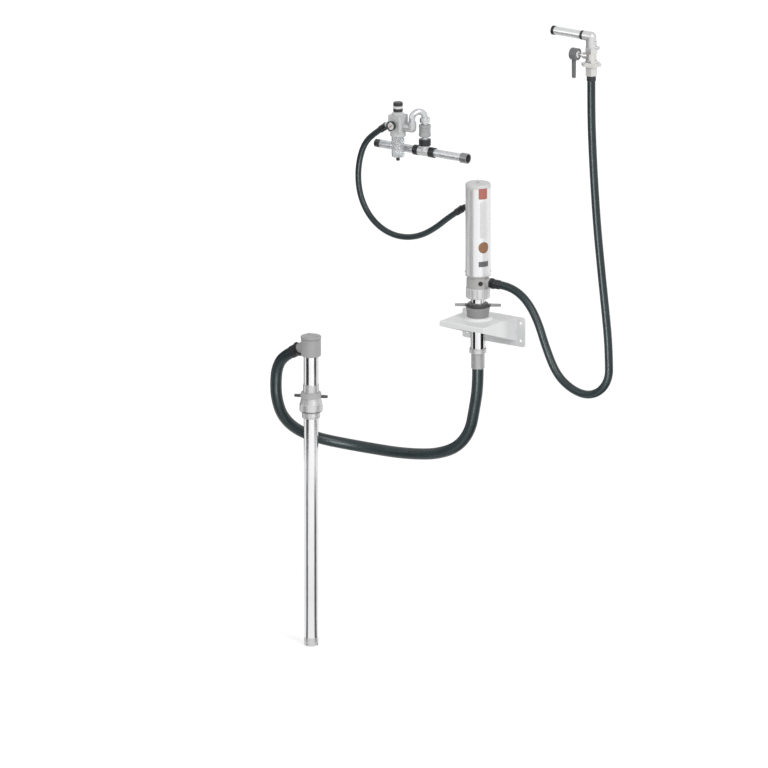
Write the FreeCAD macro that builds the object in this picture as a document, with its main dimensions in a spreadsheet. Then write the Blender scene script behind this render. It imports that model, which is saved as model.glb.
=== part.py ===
import FreeCAD
import Part
import Sketcher
import itertools
import math
import os
import re

# Air-operated oil pump set.  A 3:1 pump hangs in a bracket on the wall.  An air
# hose brings it air from a filter-regulator, a suction hose joins it to a lance
# that stands in a drum, and a delivery hose climbs to a lever valve.
#
# Frame, in mm: the origin is the centre of the wall plate's back face, which lies
# in y = 0.  +X runs right along the wall, +Y goes into the wall, +Z is up.

doc = FreeCAD.newDocument("oil_pump_set")
sheet = doc.addObject("Spreadsheet::Sheet", "Dims")
sheet_rows = itertools.count(1)
nodes = {}

UP = FreeCAD.Vector(0, 0, 1)
LEFT = FreeCAD.Vector(-1, 0, 0)
RIGHT = FreeCAD.Vector(1, 0, 0)
BACK = FreeCAD.Vector(0, 1, 0)
DOWN = FreeCAD.Vector(0, 0, -1)
FRONT = FreeCAD.Vector(0, -1, 0)
NEAR = 1e-3


# ---------------------------------------------------------------- tools of the trade

def sizes(**named):
    """Write driving dimensions into the next rows of the sheet."""
    for name, number in named.items():
        row = next(sheet_rows)
        sheet.set(f"A{row}", name)
        sheet.set(f"B{row}", str(number))
        sheet.setAlias(f"B{row}", name)
    doc.recompute()


def bound(expression):
    """The same expression, with every named size pointed at its cell."""
    return re.sub(r"\b([a-z]\w*_\w+)\b", r"Dims.\1", expression)


def size(expression):
    """What an expression of named sizes comes to, in mm."""
    return float(sheet.evalExpression(expression))


def rows_of(table):
    """Split a table of expressions: one point a line, its values between commas."""
    return [tuple(value.strip() for value in line.split(","))
            for line in table.strip().splitlines()]


def node(label, piece):
    """Name a finished piece, whose shape becomes parts/LABEL.step."""
    piece.Label = label
    nodes[label] = piece
    return piece


def blank(piece):
    """A body that only serves to make another piece, so it is no node itself."""
    del nodes[piece.Label]
    return piece


def place(piece, at, axis=UP, roll=0):
    """Put a piece at x, y, z expressions with its own Z along axis."""
    turn = FreeCAD.Rotation(UP, axis)
    piece.Placement.Rotation = turn.multiply(FreeCAD.Rotation(UP, roll))
    for letter, expression in zip("xyz", at):
        piece.setExpression(f"Placement.Base.{letter}", bound(expression))
    return piece


def fix(sketch, kind, index, point, expression):
    """Hold one coordinate of a sketch point at the value of an expression."""
    number = size(expression)
    if abs(number) < 1e-9:
        axis = -2 if kind == "DistanceX" else -1
        sketch.addConstraint(Sketcher.Constraint("PointOnObject", index, point, axis))
        return
    which = sketch.addConstraint(Sketcher.Constraint(kind, -1, 1, index, point, number))
    sketch.setExpression(f"Constraints[{which}]", bound(expression))


def sketched(body, plane, outlines=(), circles=(), offset=None):
    """A sketch of closed outlines and circles on one of a body's own planes."""
    sketch = body.newObject("Sketcher::SketchObject", f"{body.Name}_sketch")
    origin = next(f for f in body.Origin.OriginFeatures if f.Role == plane)
    sketch.AttachmentSupport = [(origin, "")]
    sketch.MapMode = "FlatFace"
    if offset:
        sketch.setExpression("AttachmentOffset.Base.z", bound(offset))
    for outline in outlines:
        points = rows_of(outline)
        places = [FreeCAD.Vector(size(across), size(up), 0) for across, up in points]
        first = sketch.GeometryCount
        for start, end in zip(places, places[1:] + places[:1]):
            sketch.addGeometry(Part.LineSegment(start, end), False)
        for step, (across, up) in enumerate(points):
            after = (step + 1) % len(points)
            sketch.addConstraint(
                Sketcher.Constraint("Coincident", first + step, 2, first + after, 1))
            fix(sketch, "DistanceX", first + step, 1, across)
            fix(sketch, "DistanceY", first + step, 1, up)
    for circle in circles:
        for across, up, radius in rows_of(circle):
            centre = FreeCAD.Vector(size(across), size(up), 0)
            index = sketch.addGeometry(Part.Circle(centre, UP, size(radius)), False)
            fix(sketch, "DistanceX", index, 3, across)
            fix(sketch, "DistanceY", index, 3, up)
            which = sketch.addConstraint(
                Sketcher.Constraint("Radius", index, size(radius)))
            sketch.setExpression(f"Constraints[{which}]", bound(radius))
    return sketch


def body_named(label):
    """A PartDesign body that becomes a node of this name."""
    return node(label, doc.addObject("PartDesign::Body", label))


def turned(label, outline, at=("0", "0", "0"), axis=UP, roll=0):
    """A lathe-turned piece: its outline is radius, height, about its own Z."""
    body = body_named(label)
    profile = sketched(body, "XZ_Plane", [outline])
    lathe = body.newObject("PartDesign::Revolution", f"{label}_turning")
    lathe.Profile = profile
    lathe.ReferenceAxis = (profile, ["V_Axis"])
    lathe.Angle = 360
    profile.Visibility = False
    return place(body, at, axis, roll)


def padded(body, sketch, length, both_ways=False):
    """Grow a sketch into its body along the sketch's normal."""
    pad = body.newObject("PartDesign::Pad", f"{body.Name}_pad")
    pad.Profile = sketch
    pad.Midplane = both_ways
    pad.setExpression("Length", bound(length))
    return pad


def pocketed(body, sketch, length):
    """Cut a sketch into its body, against the sketch's normal."""
    pocket = body.newObject("PartDesign::Pocket", f"{body.Name}_pocket")
    pocket.Profile = sketch
    pocket.setExpression("Length", bound(length))
    return pocket


def ringed(body, feature, count):
    """Repeat a cut evenly round the body's own Z axis."""
    pattern = body.newObject("PartDesign::PolarPattern", f"{body.Name}_ring")
    axis = next(f for f in body.Origin.OriginFeatures if f.Role == "Z_Axis")
    pattern.Originals = [feature]
    pattern.Axis = (axis, [""])
    pattern.Angle = 360
    pattern.Occurrences = count
    body.Tip = pattern
    return pattern


def rounded(body, chosen, radius, kind="PartDesign::Fillet"):
    """Round (or chamfer) the edges of a body that a test picks out."""
    doc.recompute()
    base = body.Tip
    names = [f"Edge{number}" for number, edge in enumerate(base.Shape.Edges, 1)
             if chosen(edge)]
    dressing = body.newObject(kind, f"{body.Name}_edges")
    dressing.Base = (base, names)
    width = "Radius" if kind.endswith("Fillet") else "Size"
    dressing.setExpression(width, bound(radius))
    return dressing


def straight_along(direction, low=0.0, high=1e9):
    """A test for straight edges along a direction, of a length between two."""
    def chosen(edge):
        if not isinstance(edge.Curve, Part.Line):
            return False
        along = abs(edge.Curve.Direction.dot(direction)) > 0.999
        return along and low <= edge.Length <= high
    return chosen


def rod(radius, length, at, axis=UP):
    """A plain cylinder, as a blank or as a drill."""
    piece = doc.addObject("Part::Cylinder", "Rod")
    piece.setExpression("Radius", bound(radius))
    piece.setExpression("Height", bound(length))
    return place(piece, at, axis)


def ball(radius, at):
    """A plain sphere."""
    piece = doc.addObject("Part::Sphere", "Ball")
    piece.setExpression("Radius", bound(radius))
    return place(piece, at)


def hexagon(across_flats, length, at, axis=UP, roll=0):
    """A hexagonal bar."""
    piece = doc.addObject("Part::Prism", "Hexagon")
    piece.Polygon = 6
    piece.setExpression("Circumradius", bound(f"({across_flats}) / sqrt(3)"))
    piece.setExpression("Height", bound(length))
    return place(piece, at, axis, roll)


def block(wide, deep, tall, at, axis=UP, roll=0):
    """A plain box from its low corner."""
    piece = doc.addObject("Part::Box", "Block")
    for name, expression in (("Length", wide), ("Width", deep), ("Height", tall)):
        piece.setExpression(name, bound(expression))
    return place(piece, at, axis, roll)


def joined(*pieces):
    """Several shapes as one."""
    whole = doc.addObject("Part::MultiFuse", "Joined")
    whole.Shapes = list(pieces)
    whole.Refine = True
    return whole


def gathered(*pieces):
    """Separate like pieces that share a node."""
    group = doc.addObject("Part::Compound", "Gathered")
    group.Links = list(pieces)
    return group


def cut(base, *tools):
    """A shape with others taken out of it."""
    result = doc.addObject("Part::Cut", "Cut")
    result.Base = base
    result.Tool = tools[0] if len(tools) == 1 else joined(*tools)
    result.Refine = True
    return result


# ---------------------------------------------------------------- wall bracket

# The bracket: a drilled wall plate, and a folded shelf with two gussets and a
# front lip welded to it.  A threaded ring is welded over the hole in the shelf.
sizes(axis_out=95, sheet_thick=5,
      wall_plate_wide=250, wall_plate_tall=100, wall_hole_radius=5.5,
      wall_hole_across=108, wall_hole_up=30, plate_corner=8,
      shelf_wide=180, shelf_out=190, shelf_top=50, gusset_low=-32, lip_low=32,
      shelf_hole=31, fold_radius=4,
      ring_outer=45, ring_inner=30.2, ring_top=58, edge_break=1)

wall_plate = body_named("wall_plate")
padded(wall_plate, sketched(wall_plate, "XZ_Plane", ["""
    -wall_plate_wide / 2, -wall_plate_tall / 2
    wall_plate_wide / 2, -wall_plate_tall / 2
    wall_plate_wide / 2, wall_plate_tall / 2
    -wall_plate_wide / 2, wall_plate_tall / 2"""], ["""
    wall_hole_across, wall_hole_up, wall_hole_radius
    -wall_hole_across, wall_hole_up, wall_hole_radius
    wall_hole_across, -wall_hole_up, wall_hole_radius
    -wall_hole_across, -wall_hole_up, wall_hole_radius"""]), "sheet_thick")
rounded(wall_plate, straight_along(BACK), "plate_corner")

shelf = body_named("folded_shelf")
padded(shelf, sketched(shelf, "YZ_Plane", ["""
    -sheet_thick, gusset_low
    -sheet_thick, shelf_top
    -shelf_out, shelf_top
    -shelf_out, lip_low"""]), "shelf_wide", both_ways=True)
rounded(shelf, lambda edge: edge.BoundBox.ZMin > size("shelf_top") - NEAR
        and edge.BoundBox.YMin < -size("sheet_thick") - NEAR
        or straight_along(UP, high=size("shelf_top - lip_low") + NEAR)(edge), "fold_radius")
pocketed(shelf, sketched(shelf, "XY_Plane", ["""
    sheet_thick - shelf_wide / 2, sheet_thick - shelf_out
    shelf_wide / 2 - sheet_thick, sheet_thick - shelf_out
    shelf_wide / 2 - sheet_thick, 0
    sheet_thick - shelf_wide / 2, 0"""], offset="shelf_top - sheet_thick"), "shelf_out")
pocketed(shelf, sketched(shelf, "XY_Plane", circles=["""
    0, -axis_out, shelf_hole"""], offset="shelf_top"), "sheet_thick * 2")

PUMP = ("0", "-axis_out", "0")
thread_ring = turned("thread_ring", """
    ring_inner, shelf_top
    ring_outer, shelf_top
    ring_outer, ring_top - edge_break * 2
    ring_outer - edge_break * 2, ring_top
    ring_inner, ring_top""", PUMP)
node("bracket_shelf", joined(blank(shelf), blank(thread_ring)))

# ---------------------------------------------------------------- drum-thread adaptor

# The adaptor screws into the ring with a 2 inch thread.  Its wing ring squeezes a
# tapered collet on to the pump tube.
sizes(bung_radius=29.8, bung_length=16, adaptor_low=35, adaptor_high=39.5,
      adaptor_shoulder=91, adaptor_neck=27, adaptor_top=100,
      tube_outer=24, tube_gap=0.3, collet_outer=26.4,
      wing_fit=0.05, wing_low=92, wing_top=104, wing_outer=34, wing_gap=0.4,
      wing_span=76, wing_root=9, wing_tip=6, wing_thick=7, wing_heading=32)

turned("pump_adaptor", """
    tube_outer + tube_gap, ring_top - bung_length
    bung_radius - edge_break, ring_top - bung_length
    bung_radius, ring_top - bung_length + edge_break
    bung_radius, ring_top
    adaptor_low, ring_top
    adaptor_high, adaptor_shoulder - edge_break
    adaptor_high - edge_break, adaptor_shoulder
    adaptor_neck, adaptor_shoulder
    adaptor_neck, adaptor_top
    collet_outer, adaptor_top
    collet_outer, adaptor_shoulder
    tube_outer + tube_gap, adaptor_shoulder""", PUMP)
turned("collet", """
    tube_outer, adaptor_shoulder
    collet_outer, adaptor_shoulder
    collet_outer, adaptor_top + edge_break / 2
    tube_outer, adaptor_top + edge_break / 2""", PUMP)


def wing_ring(label, bore, outer, span, low, top, neck, at, roll=0):
    """A clamp ring with two flat wings, capped by a lip over the collet."""
    ring = turned(label, f"""
        {bore}, {low}
        {outer}, {low}
        {outer}, {top} - edge_break
        {outer} - edge_break, {top}
        {neck}, {top}
        {neck}, {top} - edge_break * 2
        {bore}, {top} - edge_break * 2""", at, roll=roll)
    wings = [f"""
        {side} ({outer} - edge_break * 3), -wing_root
        {side} ({span}), -wing_tip
        {side} ({span}), wing_tip
        {side} ({outer} - edge_break * 3), wing_root""" for side in ("1 *", "-1 *")]
    padded(ring, sketched(ring, "XY_Plane", wings, offset=f"{low} + edge_break"),
           "wing_thick")
    rounded(ring, straight_along(UP, high=size("wing_thick") + NEAR), "wing_tip - edge_break")
    return ring


wing_ring("wall_wing_ring", "adaptor_neck + wing_fit", "wing_outer", "wing_span",
          "wing_low", "wing_top", "tube_outer + wing_gap", PUMP, size("wing_heading"))

# ---------------------------------------------------------------- liquid end

# The pump tube holds a steel liner, and the suction valve closes its foot.  The
# ring nut pulls the tube's flange up against the outlet body.
sizes(tube_low=-58, flange_low=150, flange_top=158, flange_outer=30,
      liner_outer=20, liner_bore=16, liner_low=-35, liner_top=140, seat_hole=8,
      seat_mouth=12.5, seat_depth=4, suction_ball_radius=11, suction_ball_up=-32,
      cage_bore=11.5, cage_top=-13, cage_lip=7, cage_slot=9,
      nut_outer=40, nut_low=123, nut_notch=3, nut_bore=30.3)

turned("pump_tube", """
    liner_outer + tube_gap, tube_low
    tube_outer, tube_low
    tube_outer, flange_low
    flange_outer, flange_low
    flange_outer, flange_top
    liner_outer + tube_gap, flange_top""", PUMP)
turned("pump_liner", """
    liner_bore, liner_low
    liner_outer, liner_low
    liner_outer, liner_top
    liner_bore, liner_top""", PUMP)
cage = turned("suction_seat", """
    seat_hole, tube_low
    liner_outer, tube_low
    liner_outer, liner_low
    liner_bore - tube_gap, liner_low
    liner_bore - tube_gap, cage_top
    cage_lip, cage_top
    cage_lip, cage_top - edge_break * 2
    cage_bore, cage_top - edge_break * 2
    cage_bore, liner_low
    seat_hole + edge_break, liner_low - seat_depth
    seat_hole, liner_low - seat_depth - edge_break""", PUMP)
cage_window = pocketed(cage, sketched(cage, "XY_Plane", ["""
    cage_bore - edge_break, -cage_slot / 2
    liner_bore + edge_break, -cage_slot / 2
    liner_bore + edge_break, cage_slot / 2
    cage_bore - edge_break, cage_slot / 2"""], offset="cage_top - edge_break * 4"), "seat_depth * 3")
ringed(cage, cage_window, 3)
node("suction_ball", ball("suction_ball_radius", ("0", "-axis_out", "suction_ball_up")))

ring_nut = turned("ring_nut", """
    tube_outer + tube_gap, nut_low
    nut_outer - edge_break * 2, nut_low
    nut_outer, nut_low + edge_break * 2
    nut_outer, flange_top - edge_break * 2
    nut_outer - edge_break * 2, flange_top
    nut_bore, flange_top
    nut_bore, flange_low
    tube_outer + tube_gap, flange_low""", PUMP)
notch = pocketed(ring_nut, sketched(ring_nut, "XY_Plane", circles=["""
    nut_outer + edge_break, 0, nut_notch"""], offset="flange_top"), "flange_top - nut_low")
ringed(ring_nut, notch, 12)

# ---------------------------------------------------------------- outlet body

# The outlet body joins the tube to the motor.  Oil rises round the piston rod and
# leaves through the side port.
sizes(outlet_radius=38, outlet_top=195, chamber_radius=20, port_up=178,
      port_boss=16.5, port_end=52, port_bore=9, waist_radius=35, waist_low=188)

outlet_blank = blank(turned("outlet_blank", """
    0, flange_top
    outlet_radius, flange_top
    outlet_radius, waist_low
    waist_radius, waist_low + edge_break * 3
    waist_radius, outlet_top
    0, outlet_top""", PUMP))
node("outlet_body", cut(
    joined(outlet_blank,
           rod("port_boss", "port_end", ("0", "-axis_out", "port_up"), RIGHT)),
    rod("chamber_radius", "outlet_top", ("0", "-axis_out", "0")),
    rod("port_bore", "port_end * 2", ("0", "-axis_out", "port_up"), RIGHT)))

# ---------------------------------------------------------------- air motor

# A double-acting air motor: lower head, cylinder and upper head are drawn
# together by four tie rods, and the spool valve sits on the centre line.
sizes(cover_outer=42, cover_wall=2.5, cover_low=203, cover_top=499,
      head_inside=39.2, head_top=228, gland_outer=12, gland_low=198, gland_top=224,
      rod_radius=7, rod_fit=0.05, rod_hole=8.5,
      cylinder_bore=28, cylinder_wall=3, cylinder_top=392, upper_top=452,
      spool_radius=9, spool_low=402, spool_length=36, spool_floor=401.6,
      land_first=9, land_second=16, land_third=21.5, land_last=29,
      valve_bore_top=447, plug_radius=14,
      air_up=422, air_hole=12.5, air_bore=7, port_radius=9.8, inlet_start=-33,
      tie_circle=34.2, tie_radius=2.5, tie_nut=8, tie_nut_tall=5,
      foam_inner=17, foam_outer=37, foam_top=486,
      cap_top=513, cap_round=6, cap_lip=487, slot_wide=4, slot_tall=22, slot_low=458)

turned("lower_head", """
    rod_hole, outlet_top
    waist_radius, outlet_top
    cover_outer, cover_low - edge_break * 4
    cover_outer, cover_low
    head_inside, cover_low
    head_inside, head_top
    gland_outer, head_top
    gland_outer, gland_low
    rod_hole, gland_low""", PUMP)
turned("rod_gland", """
    rod_radius + rod_fit, gland_low
    gland_outer - tube_gap / 2, gland_low
    gland_outer - tube_gap / 2, gland_top
    rod_radius + rod_fit, gland_top""", PUMP)
turned("motor_cylinder", """
    cylinder_bore, head_top
    cylinder_bore + cylinder_wall, head_top
    cylinder_bore + cylinder_wall, cylinder_top
    cylinder_bore, cylinder_top""", PUMP)

upper_blank = blank(turned("upper_blank", """
    0, cylinder_top
    head_inside, cylinder_top
    head_inside, upper_top
    plug_radius, upper_top
    plug_radius, valve_bore_top
    spool_radius + rod_fit, valve_bore_top
    spool_radius + rod_fit, spool_floor
    0, spool_floor""", PUMP))
node("upper_head", cut(
    upper_blank,
    rod("air_bore", "cover_outer", ("-spool_radius", "-axis_out", "air_up"), LEFT),
    rod("port_radius + rod_fit", "cover_outer", ("inlet_start", "-axis_out", "air_up"), LEFT)))
turned("valve_spool", """
    0, spool_low
    spool_radius, spool_low
    spool_radius, spool_low + land_first
    spool_radius - edge_break * 3, spool_low + land_first
    spool_radius - edge_break * 3, spool_low + land_second
    spool_radius, spool_low + land_second
    spool_radius, spool_low + land_third
    spool_radius - edge_break * 3, spool_low + land_third
    spool_radius - edge_break * 3, spool_low + land_last
    spool_radius, spool_low + land_last
    spool_radius, spool_low + spool_length
    0, spool_low + spool_length""", PUMP)
turned("valve_plug", """
    0, valve_bore_top
    plug_radius - tube_gap / 2, valve_bore_top
    plug_radius - tube_gap / 2, upper_top
    spool_radius, upper_top + edge_break * 4
    0, upper_top + edge_break * 4""", PUMP)

CORNERS = (45, 135, 225, 315)


def tie_place(angle, low):
    """Where a tie rod stands on its circle, from a given height."""
    return (f"tie_circle * cos({angle})", f"-axis_out + tie_circle * sin({angle})", low)


node("tie_rods", gathered(*[
    rod("tie_radius", "cylinder_top - head_top", tie_place(angle, "head_top"))
    for angle in CORNERS] + [
    hexagon("tie_nut", "tie_nut_tall", tie_place(angle, "upper_top"), roll=angle + 30)
    for angle in CORNERS]))
turned("silencer", """
    foam_inner, upper_top + tie_nut_tall
    foam_outer, upper_top + tie_nut_tall
    foam_outer, foam_top
    foam_inner, foam_top""", PUMP)

# The thin cover slides down over the motor.  The air inlet passes through a hole
# in its left side, and the exhaust leaves by slots that face the wall.
cover = turned("motor_cover", """
    cover_outer - cover_wall, cover_low
    cover_outer, cover_low
    cover_outer, cover_top
    cover_outer - cover_wall, cover_top""", PUMP)
pocketed(cover, sketched(cover, "YZ_Plane", circles=["""
    0, air_up, air_hole"""]), "cover_outer * 2")
slots = [f"""
    {middle} - slot_wide / 2, slot_low
    {middle} + slot_wide / 2, slot_low
    {middle} + slot_wide / 2, slot_low + slot_tall
    {middle} - slot_wide / 2, slot_low + slot_tall""" for middle in
    [f"{step} * slot_wide * 2.5" for step in (-2, -1, 0, 1, 2)]]
pocketed(cover, sketched(cover, "XZ_Plane", slots), "cover_outer * 2")

cap = turned("top_cap", """
    0, cap_lip + edge_break * 3
    cover_outer - cover_wall - tube_gap - edge_break * 3, cap_lip + edge_break * 3
    cover_outer - cover_wall - tube_gap - edge_break * 3, cap_lip
    cover_outer - cover_wall - tube_gap, cap_lip
    cover_outer - cover_wall - tube_gap, cover_top
    cover_outer, cover_top
    cover_outer, cap_top
    0, cap_top""", PUMP)
rounded(cap, lambda edge: isinstance(edge.Curve, Part.Circle)
        and edge.BoundBox.ZMin > size("cap_top") - NEAR, "cap_round")

# ---------------------------------------------------------------- moving column

# The air piston, its bolt, the rod and the pump piston travel together, 100 mm.
# A check ball rides in the pump piston and lets the oil through on the way down.
sizes(piston_low=232, piston_top=256, piston_radius=27.6, seal_radius=27.95,
      seal_floor=25.6, seal_first=236, seal_second=247, seal_tall=5,
      bolt_radius=4, bolt_deep=14, bolt_head=7, bolt_head_tall=6,
      pump_piston_low=-10, pump_piston_skirt=12, pump_piston_top=34,
      pump_piston_radius=15.6, pump_seal_radius=15.95, pump_seal_floor=13.6,
      pump_seal_low=2, pump_seal_tall=5, stem_radius=12, check_hole=5.5,
      check_bore=8.3, check_seat=-4, check_roof=22, check_ball_radius=7.5,
      check_ball_up=1.4, window_top=21, window_tall=8, window_wide=7)

turned("air_piston", """
    bolt_radius + rod_fit, piston_low
    piston_radius - edge_break, piston_low
    piston_radius, piston_low + edge_break
    piston_radius, seal_first
    seal_floor, seal_first
    seal_floor, seal_first + seal_tall
    piston_radius, seal_first + seal_tall
    piston_radius, seal_second
    seal_floor, seal_second
    seal_floor, seal_second + seal_tall
    piston_radius, seal_second + seal_tall
    piston_radius, piston_top - edge_break
    piston_radius - edge_break, piston_top
    bolt_radius + rod_fit, piston_top""", PUMP)


def seal_ring(low, inner, outer, tall):
    """A square seal ring, a little slack in its groove."""
    outside = rod(outer, f"{tall} - rod_fit * 2", ("0", "-axis_out", f"{low} + rod_fit"))
    inside = rod(f"{inner} + rod_fit", tall, ("0", "-axis_out", low))
    return cut(outside, inside)


node("piston_seals", gathered(
    seal_ring("seal_first", "seal_floor", "seal_radius", "seal_tall"),
    seal_ring("seal_second", "seal_floor", "seal_radius", "seal_tall"),
    seal_ring("pump_seal_low", "pump_seal_floor", "pump_seal_radius", "pump_seal_tall")))
turned("piston_bolt", """
    0, piston_low - bolt_deep
    bolt_radius, piston_low - bolt_deep
    bolt_radius, piston_top
    bolt_head, piston_top
    bolt_head, piston_top + bolt_head_tall
    0, piston_top + bolt_head_tall""", PUMP)
turned("piston_rod", """
    0, pump_piston_top
    rod_radius, pump_piston_top
    rod_radius, piston_low
    bolt_radius + rod_fit, piston_low
    bolt_radius + rod_fit, piston_low - bolt_deep
    0, piston_low - bolt_deep""", PUMP)

pump_piston = turned("pump_piston", """
    check_hole, pump_piston_low
    pump_piston_radius, pump_piston_low
    pump_piston_radius, pump_seal_low
    pump_seal_floor, pump_seal_low
    pump_seal_floor, pump_seal_low + pump_seal_tall
    pump_piston_radius, pump_seal_low + pump_seal_tall
    pump_piston_radius, pump_piston_skirt
    stem_radius, pump_piston_skirt
    stem_radius, pump_piston_top
    0, pump_piston_top
    0, check_roof
    check_bore, check_roof
    check_bore, check_seat + edge_break
    check_hole, check_seat""", PUMP)
window = pocketed(pump_piston, sketched(pump_piston, "XY_Plane", ["""
    check_bore - edge_break, -window_wide / 2
    stem_radius + edge_break, -window_wide / 2
    stem_radius + edge_break, window_wide / 2
    check_bore - edge_break, window_wide / 2"""], offset="window_top"), "window_tall")
ringed(pump_piston, window, 3)
node("check_ball", ball("check_ball_radius", ("0", "-axis_out", "check_ball_up")))

# ---------------------------------------------------------------- hose ends

def along(corner, axis, reach):
    """The point a length beyond a corner, as expressions."""
    return tuple(f"{spot} + ({reach}) * ({part})"
                 for spot, part in zip(corner, (axis.x, axis.y, axis.z)))


# Every hose end is a union nut and a crimped tail.  The nut seats on the fitting's
# face, and the tail's shoulder sits on the nut.
def hose_end(name, hose, bore, flats, nut_long, crimp_long, at, axis):
    """A hexagonal union nut and the crimped tail beyond it, along axis."""
    nut = cut(hexagon(flats, nut_long, at, axis),
              rod(f"({hose}) * tail_share", f"{nut_long} + edge_break", at, axis))
    grooves = "".join(f"""
        {hose} + crimp_wall, ({crimp_long}) * {share} - edge_break
        {hose} + crimp_wall - edge_break / 2, ({crimp_long}) * {share}
        {hose} + crimp_wall, ({crimp_long}) * {share} + edge_break"""
        for share in ("groove_near", "groove_far"))
    crimp = turned(f"{name}_crimp", f"""
        {bore}, 0
        {hose} + crimp_wall - edge_break, 0
        {hose} + crimp_wall, edge_break{grooves}
        {hose} + crimp_wall, ({crimp_long}) - edge_break
        {hose} + crimp_wall - edge_break, {crimp_long}
        {bore}, {crimp_long}""", along(at, axis, nut_long), axis)
    return nut, blank(crimp)


sizes(crimp_wall=2, tail_share=0.63, groove_near=0.36, groove_far=0.7,
      delivery_hose=13.5, air_hose=10, suction_hose=19,
      delivery_flats=32, delivery_nut_long=12, delivery_crimp_long=24,
      air_flats=22, air_nut_long=12, air_crimp_long=18, air_tilt=35,
      union_outer=28, union_high=-50, union_low=-66, tail_flange=23.6,
      tail_outer=16.5, tail_bore=13, suction_ferrule=22, suction_end=-119)

outlet_end = hose_end("outlet_hose", "delivery_hose", "port_bore * 0.7", "delivery_flats",
                      "delivery_nut_long", "delivery_crimp_long",
                      ("port_end", "-axis_out", "port_up"), RIGHT)

# The suction hose hangs straight from the pump's foot: a round union nut clamps
# the tail's flange, and a long ferrule grips the hose.
turned("suction_union_nut", """
    tail_outer + tube_gap, union_low
    union_outer - edge_break, union_low
    union_outer, union_low + edge_break
    union_outer, union_high - edge_break
    union_outer - edge_break, union_high
    tube_outer + tube_gap, union_high
    tube_outer + tube_gap, union_low + edge_break * 4
    tail_outer + tube_gap, union_low + edge_break * 4""", PUMP)
turned("suction_ferrule", """
    tail_bore, suction_end
    suction_ferrule - edge_break, suction_end
    suction_ferrule, suction_end + edge_break
    suction_ferrule, union_low - edge_break * 2
    suction_ferrule - edge_break * 2, union_low
    tail_outer, union_low
    tail_outer, union_low + edge_break * 4
    tail_flange, union_low + edge_break * 4
    tail_flange, tube_low
    tail_bore, tube_low""", PUMP)


def angled_port(reach, radius, bore, start, corner, axis):
    """A port that runs along -X to a corner, then turns down along axis."""
    level = rod(radius, f"({start}) - ({corner[0]})", (start, corner[1], corner[2]), LEFT)
    slope = rod(radius, reach, corner, axis)
    level_bore = rod(bore, f"({start}) - ({corner[0]}) + edge_break",
                     (f"{start} + edge_break", corner[1], corner[2]), LEFT)
    slope_bore = rod(bore, f"{reach} + edge_break", corner, axis)
    return (joined(level, slope, ball(radius, corner)),
            joined(level_bore, slope_bore, ball(bore, corner)))


def tilted_left(alias):
    """A direction to the left, tilted down by an angle of the sheet."""
    angle = math.radians(size(alias))
    return FreeCAD.Vector(-math.cos(angle), 0, -math.sin(angle))


# ---------------------------------------------------------------- air inlet

AIR_TILT = tilted_left("air_tilt")
sizes(port_reach=10, inlet_corner=-54)
AIR_CORNER = ("inlet_corner", "-axis_out", "air_up")
solid, hollow = angled_port("port_reach", "port_radius", "air_bore - edge_break",
                            "inlet_start", AIR_CORNER, AIR_TILT)
inlet_port = cut(solid, hollow)
inlet_end = hose_end("air_inlet", "air_hose", "air_bore - edge_break * 2", "air_flats",
                     "air_nut_long", "air_crimp_long",
                     along(AIR_CORNER, AIR_TILT, "port_reach"), AIR_TILT)

# ---------------------------------------------------------------- filter-regulator

# A filter-regulator set: body, bonnet and knob, gauge, bowl with its element and
# drain.  The air comes down a gooseneck from the top of a level air pipe.
sizes(set_out=75, set_across=-336, set_port=653, block_half=25, block_low=635,
      block_top=690, block_round=6, boss_radius=14, boss_reach=27, set_bore=6,
      bonnet_radius=17, bonnet_top=703, knob_radius=16, knob_gap=0.3, knob_top=734,
      band_low=713, band_tall=9, spindle_radius=4, flute_radius=1.2,
      bowl_ring_radius=26, bowl_ring_low=620, bowl_radius=21.5, bowl_wall=3,
      bowl_low=548, element_radius=11, element_low=572, drain_radius=6, drain_low=535,
      gauge_radius=16, gauge_deep=12, gauge_neck=5, gauge_neck_long=8, needle_back=3.6)
SET = ("set_across", "-set_out", "0")

block_blank = body_named("block_blank")
padded(block_blank, sketched(block_blank, "XY_Plane", ["""
    -block_half, -block_half
    block_half, -block_half
    block_half, block_half
    -block_half, block_half"""], offset="block_low"), "block_top - block_low")
rounded(block_blank, straight_along(UP), "block_round")
place(block_blank, SET)
bonnet = turned("bonnet", """
    0, block_top
    bonnet_radius + edge_break * 4, block_top
    bonnet_radius + edge_break * 4, block_top + edge_break * 5
    bonnet_radius - edge_break * 4, bonnet_top
    0, bonnet_top""", SET)
bowl_ring = turned("bowl_ring", """
    bowl_radius + tube_gap, bowl_ring_low
    bowl_ring_radius, bowl_ring_low
    bowl_ring_radius, block_low
    bowl_radius + tube_gap, block_low""", SET)
node("regulator_body", cut(
    joined(blank(block_blank), blank(bonnet), blank(bowl_ring),
           rod("boss_radius", "boss_reach * 2",
               ("set_across - boss_reach", "-set_out", "set_port"), RIGHT)),
    rod("set_bore", "boss_reach * 2 + edge_break * 2",
        ("set_across - boss_reach - edge_break", "-set_out", "set_port"), RIGHT),
    rod("spindle_radius + tube_gap", "block_top", ("set_across", "-set_out", "set_port"))))

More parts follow.
